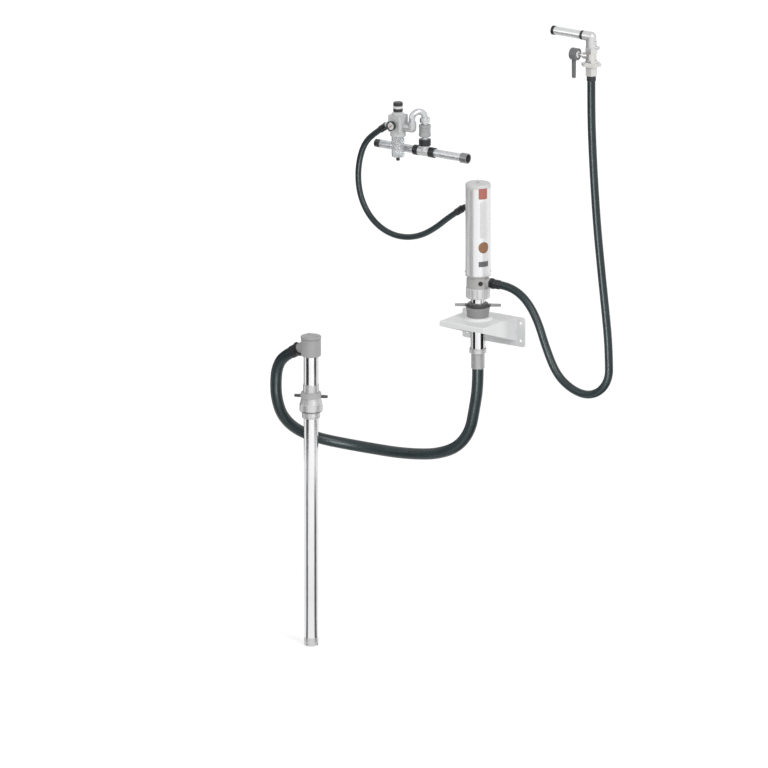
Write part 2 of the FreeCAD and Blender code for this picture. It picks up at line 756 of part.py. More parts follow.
knob = turned("regulator_knob", """
    0, set_port + set_bore
    spindle_radius, set_port + set_bore
    spindle_radius, bonnet_top + knob_gap
    knob_radius, bonnet_top + knob_gap
    knob_radius, band_low
    knob_radius - edge_break, band_low
    knob_radius - edge_break, band_low + band_tall
    knob_radius, band_low + band_tall
    knob_radius, knob_top - edge_break * 2
    knob_radius - edge_break * 2, knob_top
    0, knob_top""", SET)
flute = pocketed(knob, sketched(knob, "XY_Plane", circles=["""
    knob_radius + edge_break / 2, 0, flute_radius"""], offset="knob_top"),
    "knob_top - band_low - band_tall")
ringed(knob, flute, 18)
bowl = turned("filter_bowl", """
    drain_radius - edge_break * 2, bowl_low
    bowl_radius, bowl_low
    bowl_radius, block_low
    bowl_radius - bowl_wall, block_low
    bowl_radius - bowl_wall, bowl_low + bowl_wall
    drain_radius - edge_break * 2, bowl_low + bowl_wall""", SET)
rounded(bowl, lambda edge: isinstance(edge.Curve, Part.Circle) and abs(
    edge.Curve.Radius - size("bowl_radius")) < NEAR
    and edge.BoundBox.ZMax < size("bowl_low") + NEAR, "bowl_wall * 2")
turned("filter_element", """
    element_radius / 2, element_low
    element_radius, element_low
    element_radius, block_low
    element_radius / 2, block_low""", SET)
turned("drain_knob", """
    0, drain_low
    drain_radius - edge_break, drain_low
    drain_radius, drain_low + edge_break
    drain_radius, bowl_low - knob_gap
    drain_radius - edge_break * 3, bowl_low - knob_gap
    drain_radius - edge_break * 3, bowl_low + bowl_wall
    0, bowl_low + bowl_wall""", SET)

GAUGE = ("set_across", "-set_out - block_half", "set_port + gauge_neck * 1.5")
turned("gauge_case", """
    0, 0
    gauge_neck, 0
    gauge_neck, gauge_neck_long
    gauge_radius - edge_break * 2, gauge_neck_long
    gauge_radius, gauge_neck_long + edge_break * 2
    gauge_radius, gauge_neck_long + gauge_deep
    gauge_radius - edge_break * 2, gauge_neck_long + gauge_deep
    gauge_radius - edge_break * 2, gauge_neck_long + gauge_deep - edge_break * 5
    0, gauge_neck_long + gauge_deep - edge_break * 5""", GAUGE, FRONT)
NEEDLE_AT_ZERO = 135
needle = body_named("gauge_needle")
padded(needle, sketched(needle, "XY_Plane", ["""
    -edge_break, -gauge_neck
    edge_break, -gauge_neck
    edge_break / 2, gauge_radius - edge_break * 4
    -edge_break / 2, gauge_radius - edge_break * 4"""],
    offset="gauge_neck_long + gauge_deep - needle_back"), "edge_break")
place(needle, GAUGE, FRONT, NEEDLE_AT_ZERO)

sizes(outlet_corner=-374)
SET_CORNER = ("outlet_corner", "-set_out", "set_port")
solid, hollow = angled_port("port_reach", "port_radius", "set_bore",
                            "set_across - boss_reach", SET_CORNER, AIR_TILT)
outlet_port = cut(solid, hollow)
set_end = hose_end("air_outlet", "air_hose", "set_bore - edge_break", "air_flats",
                   "air_nut_long", "air_crimp_long",
                   along(SET_CORNER, AIR_TILT, "port_reach"), AIR_TILT)

# ---------------------------------------------------------------- air pipe and gooseneck

# The level pipe runs close to the wall, behind the filter bowl, and the gooseneck
# slants forward to the set's inlet elbow.
sizes(pipe_out=36, riser_across=-255, drop_across=-280, gooseneck_spring=684,
      riser_radius=10.6, riser_bore=8, elbow_radius=14.5, elbow_top=674,
      sleeve_radius=20, sleeve_low=621, sleeve_top=661, sleeve_bore=10.65,
      collar_radius=17, collar_low=669,
      pipe_up=570, pipe_radius=13.45, pipe_bore=10.8, pipe_left=-452, pipe_right=-81,
      pipe_thread=13.2, thread_long=20, thread_relief=12.4,
      tee_half=41, tee_band=20, tee_radius=17, tee_waist=16, tee_top=611, tee_neck=20,
      socket_long=25, socket_bore=13.5, socket_deep=23, bend_angle=180)


def level_tube(outer, bore, left, right, at_out, up):
    """A tube that lies along X between two ends."""
    outside = rod(outer, f"({right}) - ({left})", (left, at_out, up), RIGHT)
    inside = rod(bore, f"({right}) - ({left}) + edge_break * 2",
                 (f"({left}) - edge_break", at_out, up), RIGHT)
    return cut(outside, inside)


BEND_ACROSS = "riser_across - drop_across"
BEND_DEEP = "set_out - pipe_out"
BEND_RADIUS = f"sqrt(({BEND_ACROSS}) ^ 2 + ({BEND_DEEP}) ^ 2) / 2"
BEND_HEADING = math.degrees(math.atan2(size(BEND_DEEP), size(BEND_ACROSS)))
STOOD_UP = FreeCAD.Rotation(RIGHT, 90)


def gooseneck_run(radius, spare):
    """The gooseneck's line at one radius: up, half round, and down again."""
    half = doc.addObject("Part::Torus", "Bend")
    half.setExpression("Radius1", bound(BEND_RADIUS))
    half.setExpression("Radius2", bound(radius))
    half.setExpression("Angle3", bound("bend_angle"))
    place(half, ("(riser_across + drop_across) / 2", "-(pipe_out + set_out) / 2",
                 "gooseneck_spring"))
    half.Placement.Rotation = FreeCAD.Rotation(UP, BEND_HEADING).multiply(STOOD_UP)
    up = rod(radius, f"gooseneck_spring - tee_top + {spare}",
             ("riser_across", "-pipe_out", f"tee_top - {spare}"))
    down = rod(radius, f"gooseneck_spring - elbow_top + {spare}",
               ("drop_across", "-set_out", f"elbow_top - {spare}"))
    return joined(half, up, down)


node("gooseneck", cut(
    joined(gooseneck_run("riser_radius", "0"),
           rod("collar_radius", "gooseneck_spring - collar_low",
               ("riser_across", "-pipe_out", "collar_low"))),
    gooseneck_run("riser_bore", "edge_break")))
inlet_elbow = cut(
    joined(rod("elbow_radius", "drop_across - set_across - boss_reach",
               ("set_across + boss_reach", "-set_out", "set_port"), RIGHT),
           ball("elbow_radius", ("drop_across", "-set_out", "set_port")),
           rod("elbow_radius", "elbow_top - set_port", ("drop_across", "-set_out", "set_port"))),
    rod("riser_bore", "drop_across - set_across", ("set_across", "-set_out", "set_port"), RIGHT),
    rod("riser_bore", "elbow_top", ("drop_across", "-set_out", "set_port")))
node("air_elbows", gathered(inlet_port, outlet_port, inlet_elbow))
RISER = ("riser_across", "-pipe_out", "0")
turned("shutoff_sleeve", """
    sleeve_bore, sleeve_low
    sleeve_radius - edge_break * 2, sleeve_low
    sleeve_radius, sleeve_low + edge_break * 2
    sleeve_radius, sleeve_low + edge_break * 8
    sleeve_radius - edge_break, sleeve_low + edge_break * 10
    sleeve_radius - edge_break, sleeve_top - edge_break * 10
    sleeve_radius, sleeve_top - edge_break * 8
    sleeve_radius, sleeve_top - edge_break * 2
    sleeve_radius - edge_break * 2, sleeve_top
    sleeve_bore, sleeve_top""", RISER)
node("air_tee", cut(
    joined(rod("tee_waist", "tee_half * 2",
               ("riser_across - tee_half", "-pipe_out", "pipe_up"), RIGHT),
           rod("tee_radius", "tee_band",
               ("riser_across - tee_half", "-pipe_out", "pipe_up"), RIGHT),
           rod("tee_radius", "tee_band",
               ("riser_across + tee_half - tee_band", "-pipe_out", "pipe_up"), RIGHT),
           rod("tee_waist", "tee_top - pipe_up", ("riser_across", "-pipe_out", "pipe_up")),
           rod("tee_neck", "tee_band", ("riser_across", "-pipe_out", "tee_top - tee_band"))),
    rod("pipe_bore", "tee_half * 2 + edge_break * 2",
        ("riser_across - tee_half - edge_break", "-pipe_out", "pipe_up"), RIGHT),
    rod("riser_bore", "tee_top", ("riser_across", "-pipe_out", "pipe_up"))))
LEFT_END = ("pipe_left", "-pipe_out", "pipe_up")
left_pipe = cut(
    joined(rod("pipe_thread", "thread_long", LEFT_END, RIGHT),
           rod("thread_relief", "thread_long + edge_break * 2", LEFT_END, RIGHT),
           rod("pipe_radius", "riser_across - tee_half - pipe_left - thread_long - edge_break",
               along(LEFT_END, RIGHT, "thread_long + edge_break"), RIGHT)),
    rod("pipe_bore", "riser_across - pipe_left", along(LEFT_END, LEFT, "edge_break"), RIGHT))
node("air_pipe", gathered(
    left_pipe,
    level_tube("pipe_radius", "pipe_bore", "riser_across + tee_half",
               "pipe_right - socket_long", "-pipe_out", "pipe_up"),
    cut(level_tube("collar_radius", "pipe_bore", "pipe_right - socket_long",
                   "pipe_right", "-pipe_out", "pipe_up"),
        rod("socket_bore", "socket_deep",
            ("pipe_right - socket_deep + edge_break", "-pipe_out", "pipe_up"), RIGHT))))

# ---------------------------------------------------------------- delivery valve

# A lever ball valve stands on the top of the delivery hose.  The stem comes out
# to the left and its lever hangs beside the valve when the way is open.
sizes(valve_across=451, hose_top=925, upper_crimp=18, upper_nut=33, upper_flats=36,
      valve_collar=984, collar_wide=30, valve_mid=1006, valve_high=1028, barrel_radius=17,
      end_flats=38, end_tall=10, ball_radius=13.3, ball_gap=0.3, valve_bore=8,
      boss_outer=11, boss_long=32, stem_pin=5, stem_start=10, stem_long=50,
      union_top=1059, union_radius=18, elbow_up=1074, elbow_out=16,
      valve_pipe=14, valve_pipe_bore=10.5, valve_pipe_left=298, valve_pipe_right=423,
      band_out=15.5, band_long=10, plug_up=1033, plug_wide=6, plug_out=30,
      hub_outer=20, hub_face=-53, hub_thick=24, lever_wide=13, lever_thick=9,
      lever_long=82, lever_end=5.2, lever_round=3.9, hub_cap=11, collar_turn=15)
VALVE = ("valve_across", "-axis_out", "0")

valve_end = hose_end("valve_hose", "delivery_hose", "valve_bore", "upper_flats",
                     "upper_nut", "upper_crimp",
                     ("valve_across", "-axis_out", "hose_top + upper_crimp + upper_nut"), DOWN)
node("valve_body", cut(
    joined(hexagon("collar_wide * 2", "valve_collar - hose_top - upper_crimp - upper_nut",
                   ("valve_across", "-axis_out", "hose_top + upper_crimp + upper_nut"),
                   roll=size("collar_turn")),
           rod("barrel_radius", "valve_high - valve_collar",
               ("valve_across", "-axis_out", "valve_collar")),
           hexagon("end_flats", "end_tall", ("valve_across", "-axis_out", "valve_collar")),
           hexagon("end_flats", "end_tall",
                   ("valve_across", "-axis_out", "valve_high - end_tall")),
           rod("boss_outer", "boss_long", ("valve_across", "-axis_out", "valve_mid"), LEFT)),
    rod("valve_bore", "valve_high", ("valve_across", "-axis_out", "hose_top")),
    ball("ball_radius + ball_gap", ("valve_across", "-axis_out", "valve_mid")),
    rod("stem_pin + rod_fit", "boss_long * 2",
        ("valve_across", "-axis_out", "valve_mid"), LEFT)))
node("valve_ball", cut(
    ball("ball_radius", ("valve_across", "-axis_out", "valve_mid")),
    rod("valve_bore", "ball_radius * 3",
        ("valve_across", "-axis_out", "valve_mid - ball_radius * 1.5")),
    block("ball_radius", "ball_radius * 2", "ball_radius * 2",
          ("valve_across - stem_start - ball_radius", "-axis_out - ball_radius",
           "valve_mid - ball_radius"))))
node("valve_stem", rod("stem_pin", "stem_long",
                       ("valve_across - stem_start", "-axis_out", "valve_mid"), LEFT))
HUB = ("valve_across + hub_face", "-axis_out", "valve_mid")
lever_hub = cut(
    rod("hub_outer", "hub_thick", HUB, LEFT),
    rod("stem_pin", "stem_start + stem_long + hub_face + edge_break", (
        "valve_across + hub_face + edge_break", "-axis_out", "valve_mid"), LEFT),
    rod("hub_cap", "hub_thick", (
        "valve_across + hub_face - hub_thick + edge_break * 4", "-axis_out", "valve_mid"),
        LEFT))
lever = body_named("lever_blank")
padded(lever, sketched(lever, "YZ_Plane", ["""
    -lever_wide / 2, -hub_cap
    lever_wide / 2, -hub_cap
    lever_end, -lever_long
    -lever_end, -lever_long"""]), "lever_thick")
rounded(lever, lambda edge: edge.BoundBox.ZMax < -size("lever_long") + NEAR
        and straight_along(RIGHT)(edge), "lever_round")
place(lever, ("valve_across + hub_face - hub_thick + edge_break * 3", "-axis_out", "valve_mid"))
node("valve_lever", joined(lever_hub, cut(blank(lever), rod("hub_cap", "hub_thick * 2", (
    "valve_across + hub_face + edge_break", "-axis_out", "valve_mid"), LEFT))))
node("delivery_elbow", cut(
    joined(rod("union_radius", "union_top - valve_high",
               ("valve_across", "-axis_out", "valve_high")),
           hexagon("end_flats", "end_tall", ("valve_across", "-axis_out", "valve_high")),
           rod("plug_wide", "plug_out", ("valve_across", "-axis_out", "plug_up + plug_wide"),
               RIGHT),
           rod("elbow_out", "elbow_up - valve_high", ("valve_across", "-axis_out", "valve_high")),
           ball("elbow_out", ("valve_across", "-axis_out", "elbow_up")),
           rod("elbow_out", "valve_across - valve_pipe_right",
               ("valve_across", "-axis_out", "elbow_up"), LEFT)),
    rod("valve_bore", "elbow_up - valve_high + edge_break",
        ("valve_across", "-axis_out", "valve_high - edge_break")),
    rod("valve_pipe_bore", "valve_across - valve_pipe_right + edge_break",
        ("valve_across", "-axis_out", "elbow_up"), LEFT)))
turned("delivery_pipe", """
    valve_pipe_bore, 0
    band_out, 0
    band_out, band_long
    valve_pipe, band_long
    valve_pipe, valve_pipe_right - valve_pipe_left - band_long
    band_out, valve_pipe_right - valve_pipe_left - band_long
    band_out, valve_pipe_right - valve_pipe_left
    valve_pipe_bore, valve_pipe_right - valve_pipe_left""",
       ("valve_pipe_left", "-axis_out", "elbow_up"), RIGHT)

# ---------------------------------------------------------------- drum lance

# The lance is a long suction tube with a cast head at its top and a foot valve at
# its end.  An adaptor with a 2 inch thread slides on it and clamps in the drum.
sizes(lance_across=-498, lance_out=345, head_radius=33, lance_head_top=-40,
      lance_head_low=-98, head_seat=-88, head_chamber=20, head_roof=-50,
      lance_cap_top=-30, lance_cap_radius=34, lance_tilt=30,
      side_corner=-530, side_up=-72, side_radius=17, side_reach=17.5,
      lance_flats=42, lance_nut_long=10, lance_crimp_long=24,
      lance_bore=21, lance_low=-1062, foot_low=-1090, foot_hole=10, foot_seat=-1078,
      foot_bore=13.1, foot_top=-1048, foot_spigot=20.8, foot_ball_radius=12.5,
      foot_ball_up=-1070.2, foot_slot=8, foot_slot_tall=8, stop_up=-1051, stop_radius=1.5,
      slide_fit=0.05, drum_thread_low=-310, drum_flange_low=-284, drum_flange_top=-260,
      drum_flange=38, drum_cone=32, drum_neck=27, drum_neck_low=-241, drum_neck_top=-225,
      drum_collet=26.4, drum_collet_top=-196, nut_span=56, gasket_tall=3, gasket_outer=36,
      nut_heading=25)
LANCE = ("lance_across", "-lance_out", "0")

head_blank = blank(turned("head_blank", """
    0, lance_head_low
    head_radius - edge_break * 2, lance_head_low
    head_radius, lance_head_low + edge_break * 2
    head_radius, lance_head_top - edge_break
    lance_cap_radius - edge_break * 3, lance_head_top
    lance_cap_radius - edge_break * 3, lance_head_top + edge_break * 2
    lance_cap_radius, lance_head_top + edge_break * 2
    lance_cap_radius, lance_cap_top - edge_break * 2
    lance_cap_radius - edge_break * 2, lance_cap_top
    0, lance_cap_top""", LANCE))
SIDE_TILT = tilted_left("lance_tilt")
SIDE = ("side_corner", "-lance_out", "side_up")
solid, hollow = angled_port("side_reach", "side_radius", "tail_bore", "lance_across",
                            SIDE, SIDE_TILT)
node("lance_head", cut(
    joined(head_blank, solid), hollow,
    rod("tube_outer + tube_gap / 2", "head_seat - lance_head_low + edge_break",
        ("lance_across", "-lance_out", "lance_head_low - edge_break")),
    rod("head_chamber", "head_roof - head_seat + edge_break",
        ("lance_across", "-lance_out", "head_seat - edge_break"))))
lance_end = hose_end("lance_hose", "suction_hose", "tail_bore", "lance_flats",
                     "lance_nut_long", "lance_crimp_long",
                     along(SIDE, SIDE_TILT, "side_reach"), SIDE_TILT)
ENDS = (outlet_end, valve_end, inlet_end, set_end, lance_end)
node("hose_nuts", gathered(*[nut for nut, crimp in ENDS]))
node("hose_crimps", gathered(*[crimp for nut, crimp in ENDS]))
turned("lance_tube", """
    lance_bore, lance_low
    tube_outer, lance_low
    tube_outer, head_seat
    lance_bore, head_seat""", LANCE)

foot = turned("foot_blank", """
    foot_hole, foot_low
    tube_outer - edge_break * 2, foot_low
    tube_outer, foot_low + edge_break * 2
    tube_outer, lance_low
    foot_spigot, lance_low
    foot_spigot, foot_top
    foot_bore, foot_top
    foot_bore, foot_seat + edge_break * 3
    foot_hole, foot_seat""", LANCE)
foot_cut = pocketed(foot, sketched(foot, "XY_Plane", ["""
    foot_hole - edge_break, -foot_slot / 2
    tube_outer + edge_break, -foot_slot / 2
    tube_outer + edge_break, foot_slot / 2
    foot_hole - edge_break, foot_slot / 2"""], offset="foot_low + foot_slot_tall"),
    "foot_slot_tall * 2")
ringed(foot, foot_cut, 4)
node("foot_ball", ball("foot_ball_radius", ("lance_across", "-lance_out", "foot_ball_up")))
node("foot_valve_body", joined(blank(foot), rod(
    "stop_radius", "foot_spigot * 2 - edge_break * 4",
    ("lance_across - foot_spigot + edge_break * 2", "-lance_out", "stop_up"), RIGHT)))

turned("drum_adaptor", """
    tube_outer + slide_fit, drum_thread_low
    bung_radius - edge_break, drum_thread_low
    bung_radius, drum_thread_low + edge_break
    bung_radius, drum_flange_low - gasket_tall - edge_break
    bung_radius - edge_break, drum_flange_low - gasket_tall - edge_break
    bung_radius - edge_break, drum_flange_low
    drum_flange, drum_flange_low
    drum_flange, drum_flange_top - edge_break * 2
    drum_flange - edge_break * 2, drum_flange_top
    drum_cone, drum_neck_low
    drum_neck, drum_neck_low
    drum_neck, drum_neck_top
    drum_collet, drum_neck_top
    drum_collet, drum_collet_top
    tube_outer + slide_fit, drum_collet_top""", LANCE)
turned("bung_gasket", """
    bung_radius + tube_gap, drum_flange_low - gasket_tall
    gasket_outer, drum_flange_low - gasket_tall
    gasket_outer, drum_flange_low
    bung_radius + tube_gap, drum_flange_low""", LANCE)
wing_ring("adaptor_wing_nut", "drum_neck + wing_fit", "wing_outer", "nut_span",
          "drum_neck_low + wing_gap", "drum_neck_top + edge_break * 2",
          "drum_collet + wing_gap", LANCE, size("nut_heading"))

# ---------------------------------------------------------------- hoses

# Each hose is a tube along the points of its route: straight runs joined by
# tangent arcs, each as large as its two runs allow.
DELIVERY_ROUTE = [
    (88, -95, 178), (126, -95, 178), (186, -95, 151), (236, -95, 88), (275, -95, -15),
    (315, -95, -92), (372, -95, -133), (436, -95, -147), (492, -95, -124),
    (525, -95, -74), (524, -95, -12), (520, -95, 65), (508, -95, 165), (493, -95, 285),
    (477, -95, 420), (465, -95, 560), (456, -95, 700), (451, -95, 820), (451, -95, 925)]
AIR_ROUTE = [
    (-86.77, -95, 399.06), (-120, -95, 375.79), (-165, -95, 338), (-220, -93, 303),
    (-280, -91, 283), (-343, -89, 281), (-402, -87, 300), (-450, -85, 338),
    (-482, -83, 392), (-494, -81, 455), (-489, -79, 517), (-472, -77, 569),
    (-443, -75, 604.69), (-406.77, -75, 630.06)]
SUCTION_ROUTE = [
    (0, -95, -119), (0, -95, -185), (-14, -95, -262), (-30, -95, -338),
    (-80, -95, -402), (-160, -95, -437), (-240, -95, -451), (-325, -97, -458),
    (-415, -108, -456), (-500, -140, -446), (-570, -195, -426), (-612, -262, -390),
    (-633, -318, -334), (-640, -342, -268), (-641, -345, -208), (-635, -345, -160),
    (-612, -345, -119.34), (-574.61, -345, -97.76)]
ARC_SHARE = 0.45


def routed(label, points, radius):
    """A round hose along a route, with an arc rounding each corner."""
    spots = [FreeCAD.Vector(*point) for point in points]
    edges, here, tightest = [], spots[0], 1e9
    for before, corner, after in zip(spots, spots[1:], spots[2:]):
        into = (corner - before).normalize()
        out = (after - corner).normalize()
        reach = ARC_SHARE * min(before.distanceToPoint(corner), corner.distanceToPoint(after))
        half_turn = into.getAngle(out) / 2
        start, end = corner - into * reach, corner + out * reach
        bend = reach / math.tan(half_turn)
        tightest = min(tightest, bend)
        inward = (out - into).normalize()
        middle = corner + inward * (bend / math.cos(half_turn) - bend)
        edges.append(Part.LineSegment(here, start).toShape())
        edges.append(Part.Arc(start, middle, end).toShape())
        here = end
    edges.append(Part.LineSegment(here, spots[-1]).toShape())
    path = Part.Wire(edges)
    leaving = (spots[1] - spots[0]).normalize()
    section = Part.Wire(Part.makeCircle(radius, spots[0], leaving))
    hose = doc.addObject("Part::Feature", label)
    hose.Shape = path.makePipeShell([section], True, True)
    node(label, hose)
    expected = math.pi * radius ** 2 * path.Length
    print(f"{label}: {path.Length:.0f} mm long, tightest bend {tightest:.0f} mm "
          f"({tightest / radius / 2:.1f} diameters), volume {hose.Shape.Volume / expected:.4f}")


doc.recompute()
routed("delivery_hose_tube", DELIVERY_ROUTE, size("delivery_hose"))
routed("air_hose_tube", AIR_ROUTE, size("air_hose"))
routed("suction_hose_tube", SUCTION_ROUTE, size("suction_hose"))

# ---------------------------------------------------------------- check and write

doc.recompute()
faults = [f"{thing.Name}: {thing.State}" for thing in doc.Objects
          if "Invalid" in thing.State or "Error" in thing.State]
faults += [f"{label}: no valid solid" for label, piece in nodes.items()
           if piece.Shape.isNull() or not piece.Shape.isValid() or not piece.Shape.Solids]
if faults:
    raise SystemExit("\n".join(faults))

os.makedirs("parts", exist_ok=True)
for label, piece in nodes.items():
    piece.Shape.exportStep(f"parts/{label}.step")
print(f"{len(nodes)} nodes written")
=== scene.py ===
import bmesh
import bpy
import math
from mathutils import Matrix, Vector


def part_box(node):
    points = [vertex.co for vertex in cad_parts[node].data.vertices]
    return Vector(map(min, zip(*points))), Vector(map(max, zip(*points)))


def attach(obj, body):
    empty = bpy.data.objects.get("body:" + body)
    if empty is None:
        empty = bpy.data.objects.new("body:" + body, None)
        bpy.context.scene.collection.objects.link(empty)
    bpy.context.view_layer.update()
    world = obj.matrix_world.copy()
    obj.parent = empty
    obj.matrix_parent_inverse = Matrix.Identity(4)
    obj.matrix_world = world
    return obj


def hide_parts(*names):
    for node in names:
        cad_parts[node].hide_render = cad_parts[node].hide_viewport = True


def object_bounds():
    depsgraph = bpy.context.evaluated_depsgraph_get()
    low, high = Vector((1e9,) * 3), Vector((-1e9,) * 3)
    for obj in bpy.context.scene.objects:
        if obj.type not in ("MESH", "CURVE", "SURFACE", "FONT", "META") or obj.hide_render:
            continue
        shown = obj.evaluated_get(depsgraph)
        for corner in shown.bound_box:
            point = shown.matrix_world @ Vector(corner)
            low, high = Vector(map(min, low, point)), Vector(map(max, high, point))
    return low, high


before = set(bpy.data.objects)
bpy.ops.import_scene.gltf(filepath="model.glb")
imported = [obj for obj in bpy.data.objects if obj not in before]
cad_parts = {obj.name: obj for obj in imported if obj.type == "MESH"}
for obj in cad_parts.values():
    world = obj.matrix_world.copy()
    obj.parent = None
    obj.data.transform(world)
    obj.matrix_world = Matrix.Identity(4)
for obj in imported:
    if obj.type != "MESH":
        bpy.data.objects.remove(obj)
cad_low, cad_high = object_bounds()
scene = bpy.context.scene

# ---------------------------------------------------------------- view and light

# The set hangs on a wall, which is left out, and is seen from its right and a little
# above.  Two broad lamps and an even white surround light it, and black and grey
# cards, which show only in gloss, give the chrome its streaks.
seen_turn = math.radians(35)
seen_rise = math.radians(15)
seen_right = Vector((math.cos(seen_turn), math.sin(seen_turn), 0))
seen_up = Vector((-math.sin(seen_turn) * math.sin(seen_rise),
                  math.cos(seen_turn) * math.sin(seen_rise), math.cos(seen_rise)))
seen_back = seen_right.cross(seen_up)
field_wide = 2.534
lens_long = 1000
sight_far = 200
pump_low, pump_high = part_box("pump_tube")
pump_axis = (pump_low + pump_high) / 2
pump_axis.z = 0
shelf_top = 0.050
upright = Vector((0, 0, 1))
aim_left, aim_down = 0.310, 0.216
aim = pump_axis + upright * shelf_top - seen_right * aim_left - seen_up * aim_down

camera_data = bpy.data.cameras.new("camera")
camera_data.lens = lens_long
camera_data.clip_end = sight_far
camera = bpy.data.objects.new("camera", camera_data)
camera.location = aim + seen_back * (field_wide * lens_long / camera_data.sensor_width)
camera.rotation_mode = "QUATERNION"
camera.rotation_quaternion = (-seen_back).to_track_quat("-Z", "Y")
scene.collection.objects.link(camera)
scene.camera = camera
scene.view_settings.view_transform = "Standard"


def add(tree, kind, inputs=None, **settings):
    """Add a shader node.  Its inputs take other nodes' sockets or plain values."""
    made = tree.nodes.new("ShaderNode" + kind)
    for name, value in settings.items():
        setattr(made, name, value)
    for name, value in (inputs or {}).items():
        if isinstance(value, bpy.types.NodeSocket):
            tree.links.new(value, made.inputs[name])
        else:
            made.inputs[name].default_value = value
    return made


def new_material(name):
    """A material, its node tree and its surface shader."""
    material = bpy.data.materials.new(name)
    material.use_nodes = True
    return material, material.node_tree, material.node_tree.nodes["Principled BSDF"]


def seen_directly(tree):
    """1 for rays of the camera, of gloss and of glass, and 0 for rays of light."""
    path = add(tree, "LightPath").outputs
    gloss = add(tree, "Math", {0: path["Is Glossy Ray"], 1: path["Is Transmission Ray"]},
                operation="MAXIMUM")
    return add(tree, "Math", {0: path["Is Camera Ray"], 1: gloss.outputs[0]},
               operation="MAXIMUM").outputs[0]


surround_light = 0.52
world = bpy.data.worlds.new("white_surround")
world.use_nodes = True
scene.world = world
surround = world.node_tree.nodes["Background"]
surround.inputs["Color"].default_value = (1, 1, 1, 1)
strength = add(world.node_tree, "MapRange", {
    "Value": seen_directly(world.node_tree), "To Min": surround_light, "To Max": 1.0})
world.node_tree.links.new(strength.outputs[0], surround.inputs["Strength"])


def facing(turn, rise, far):
    """A place at a turn from the view and a rise, and the rotation that looks back."""
    angle, lift = seen_turn + math.radians(turn), math.radians(rise)
    way = Vector((math.sin(angle) * math.cos(lift), -math.cos(angle) * math.cos(lift),
                  math.sin(lift)))
    return aim + way * far, (-way).to_track_quat("-Z", "Y")


def broad_lamp(name, turn, rise, wide, tall, far, level):
    """A soft rectangular lamp; level is how white a surface facing it turns."""
    data = bpy.data.lights.new(name, "AREA")
    data.shape = "RECTANGLE"
    data.size, data.size_y = wide, tall
    data.energy = level * math.pi ** 2 * far ** 2
    lamp = bpy.data.objects.new(name, data)
    lamp.rotation_mode = "QUATERNION"
    lamp.location, lamp.rotation_quaternion = facing(turn, rise, far)
    scene.collection.objects.link(lamp)
    return lamp


broad_lamp("key_lamp", turn=32, rise=34, wide=2.6, tall=3.6, far=6.5, level=0.42)
broad_lamp("fill_lamp", turn=-62, rise=20, wide=1.6, tall=3.2, far=6.5, level=0.10)

# A tall strip lamp, low in front, draws a line of light along the black hoses.  It is
# linked to them, and lights nothing else.
hoses = bpy.data.collections.new("hoses")
strip_lamp = broad_lamp("strip_lamp", turn=-4, rise=-4, wide=0.70, tall=1.6, far=2.2,
                        level=1.2)
strip_lamp.data.color = (0.90, 1.0, 1.0)
strip_lamp.light_linking.receiver_collection = hoses
strip_lamp.visible_camera = False


def flat_sheet(name, corners):
    """A one-face sheet that belongs to the studio and not to the set."""
    shell = bmesh.new()
    shell.faces.new([shell.verts.new(corner) for corner in corners])
    mesh = bpy.data.meshes.new(name)
    shell.to_mesh(mesh)
    shell.free()
    sheet = bpy.data.objects.new(name, mesh)
    scene.collection.objects.link(sheet)
    return sheet


def around(middle, turn, far, height):
    """A place on a level circle round a middle, by its turn from the view."""
    angle = seen_turn + math.radians(turn)
    return Vector((middle.x + math.sin(angle) * far, middle.y - math.cos(angle) * far, height))


def card_cloth(name, tone):
    """The plain matt cloth of a card."""
    cloth, _, shader = new_material(name)
    shader.inputs["Base Color"].default_value = (tone, tone, tone, 1)
    shader.inputs["Roughness"].default_value = 1.0
    return cloth


card_black = card_cloth("card_black", 0.004)
card_grey = card_cloth("card_grey", 0.55)
card_dark = card_cloth("card_dark", 0.12)
card_far = 2.75
foot, chrome_high, cover_low, cover_high, top = cad_low.z, -0.52, -0.50, -0.14, 0.80
card_places = (
    (48, 98, foot, chrome_high, card_black),
    (-88, -40, foot, chrome_high, card_black),
    (-89, -39, cover_low, cover_high, card_grey),
    (-142, -94, cover_low, cover_high, card_grey),
    (-142, -94, cover_high, top, card_black),
    (-88, -40, cover_high, top, card_black),
    (-172, -132, foot, chrome_high, card_black),
    (-172, -132, cover_high, top, card_black),
    (150, 176, foot, chrome_high, card_black))
cards = [([around(aim, first, card_far, low), around(aim, last, card_far, low),
           around(aim, last, card_far, high), around(aim, first, card_far, high)], cloth)
         for first, last, low, high, cloth in card_places]

# Two dark cards lie on the floor and fan out from the lance, for its long tube.
floor_gap = 0.0015
lance_low, lance_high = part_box("lance_tube")
lance_axis = (lance_low + lance_high) / 2
lance_axis.z = 0
fan_near, fan_far, fan_height = 0.06, 2.2, foot - floor_gap / 2
cards += [([around(lance_axis, first, fan_near, fan_height),
            around(lance_axis, first, fan_far, fan_height),
            around(lance_axis, last, fan_far, fan_height),
            around(lance_axis, last, fan_near, fan_height)], card_dark)
          for first, last in ((52, 92), (-84, -52))]
for number, (corners, cloth) in enumerate(cards):
    card = flat_sheet(f"card_{number}", corners)
    card.data.materials.append(cloth)
    card.visible_camera = False
    card.visible_diffuse = False
    card.visible_shadow = False
    card.visible_transmission = False

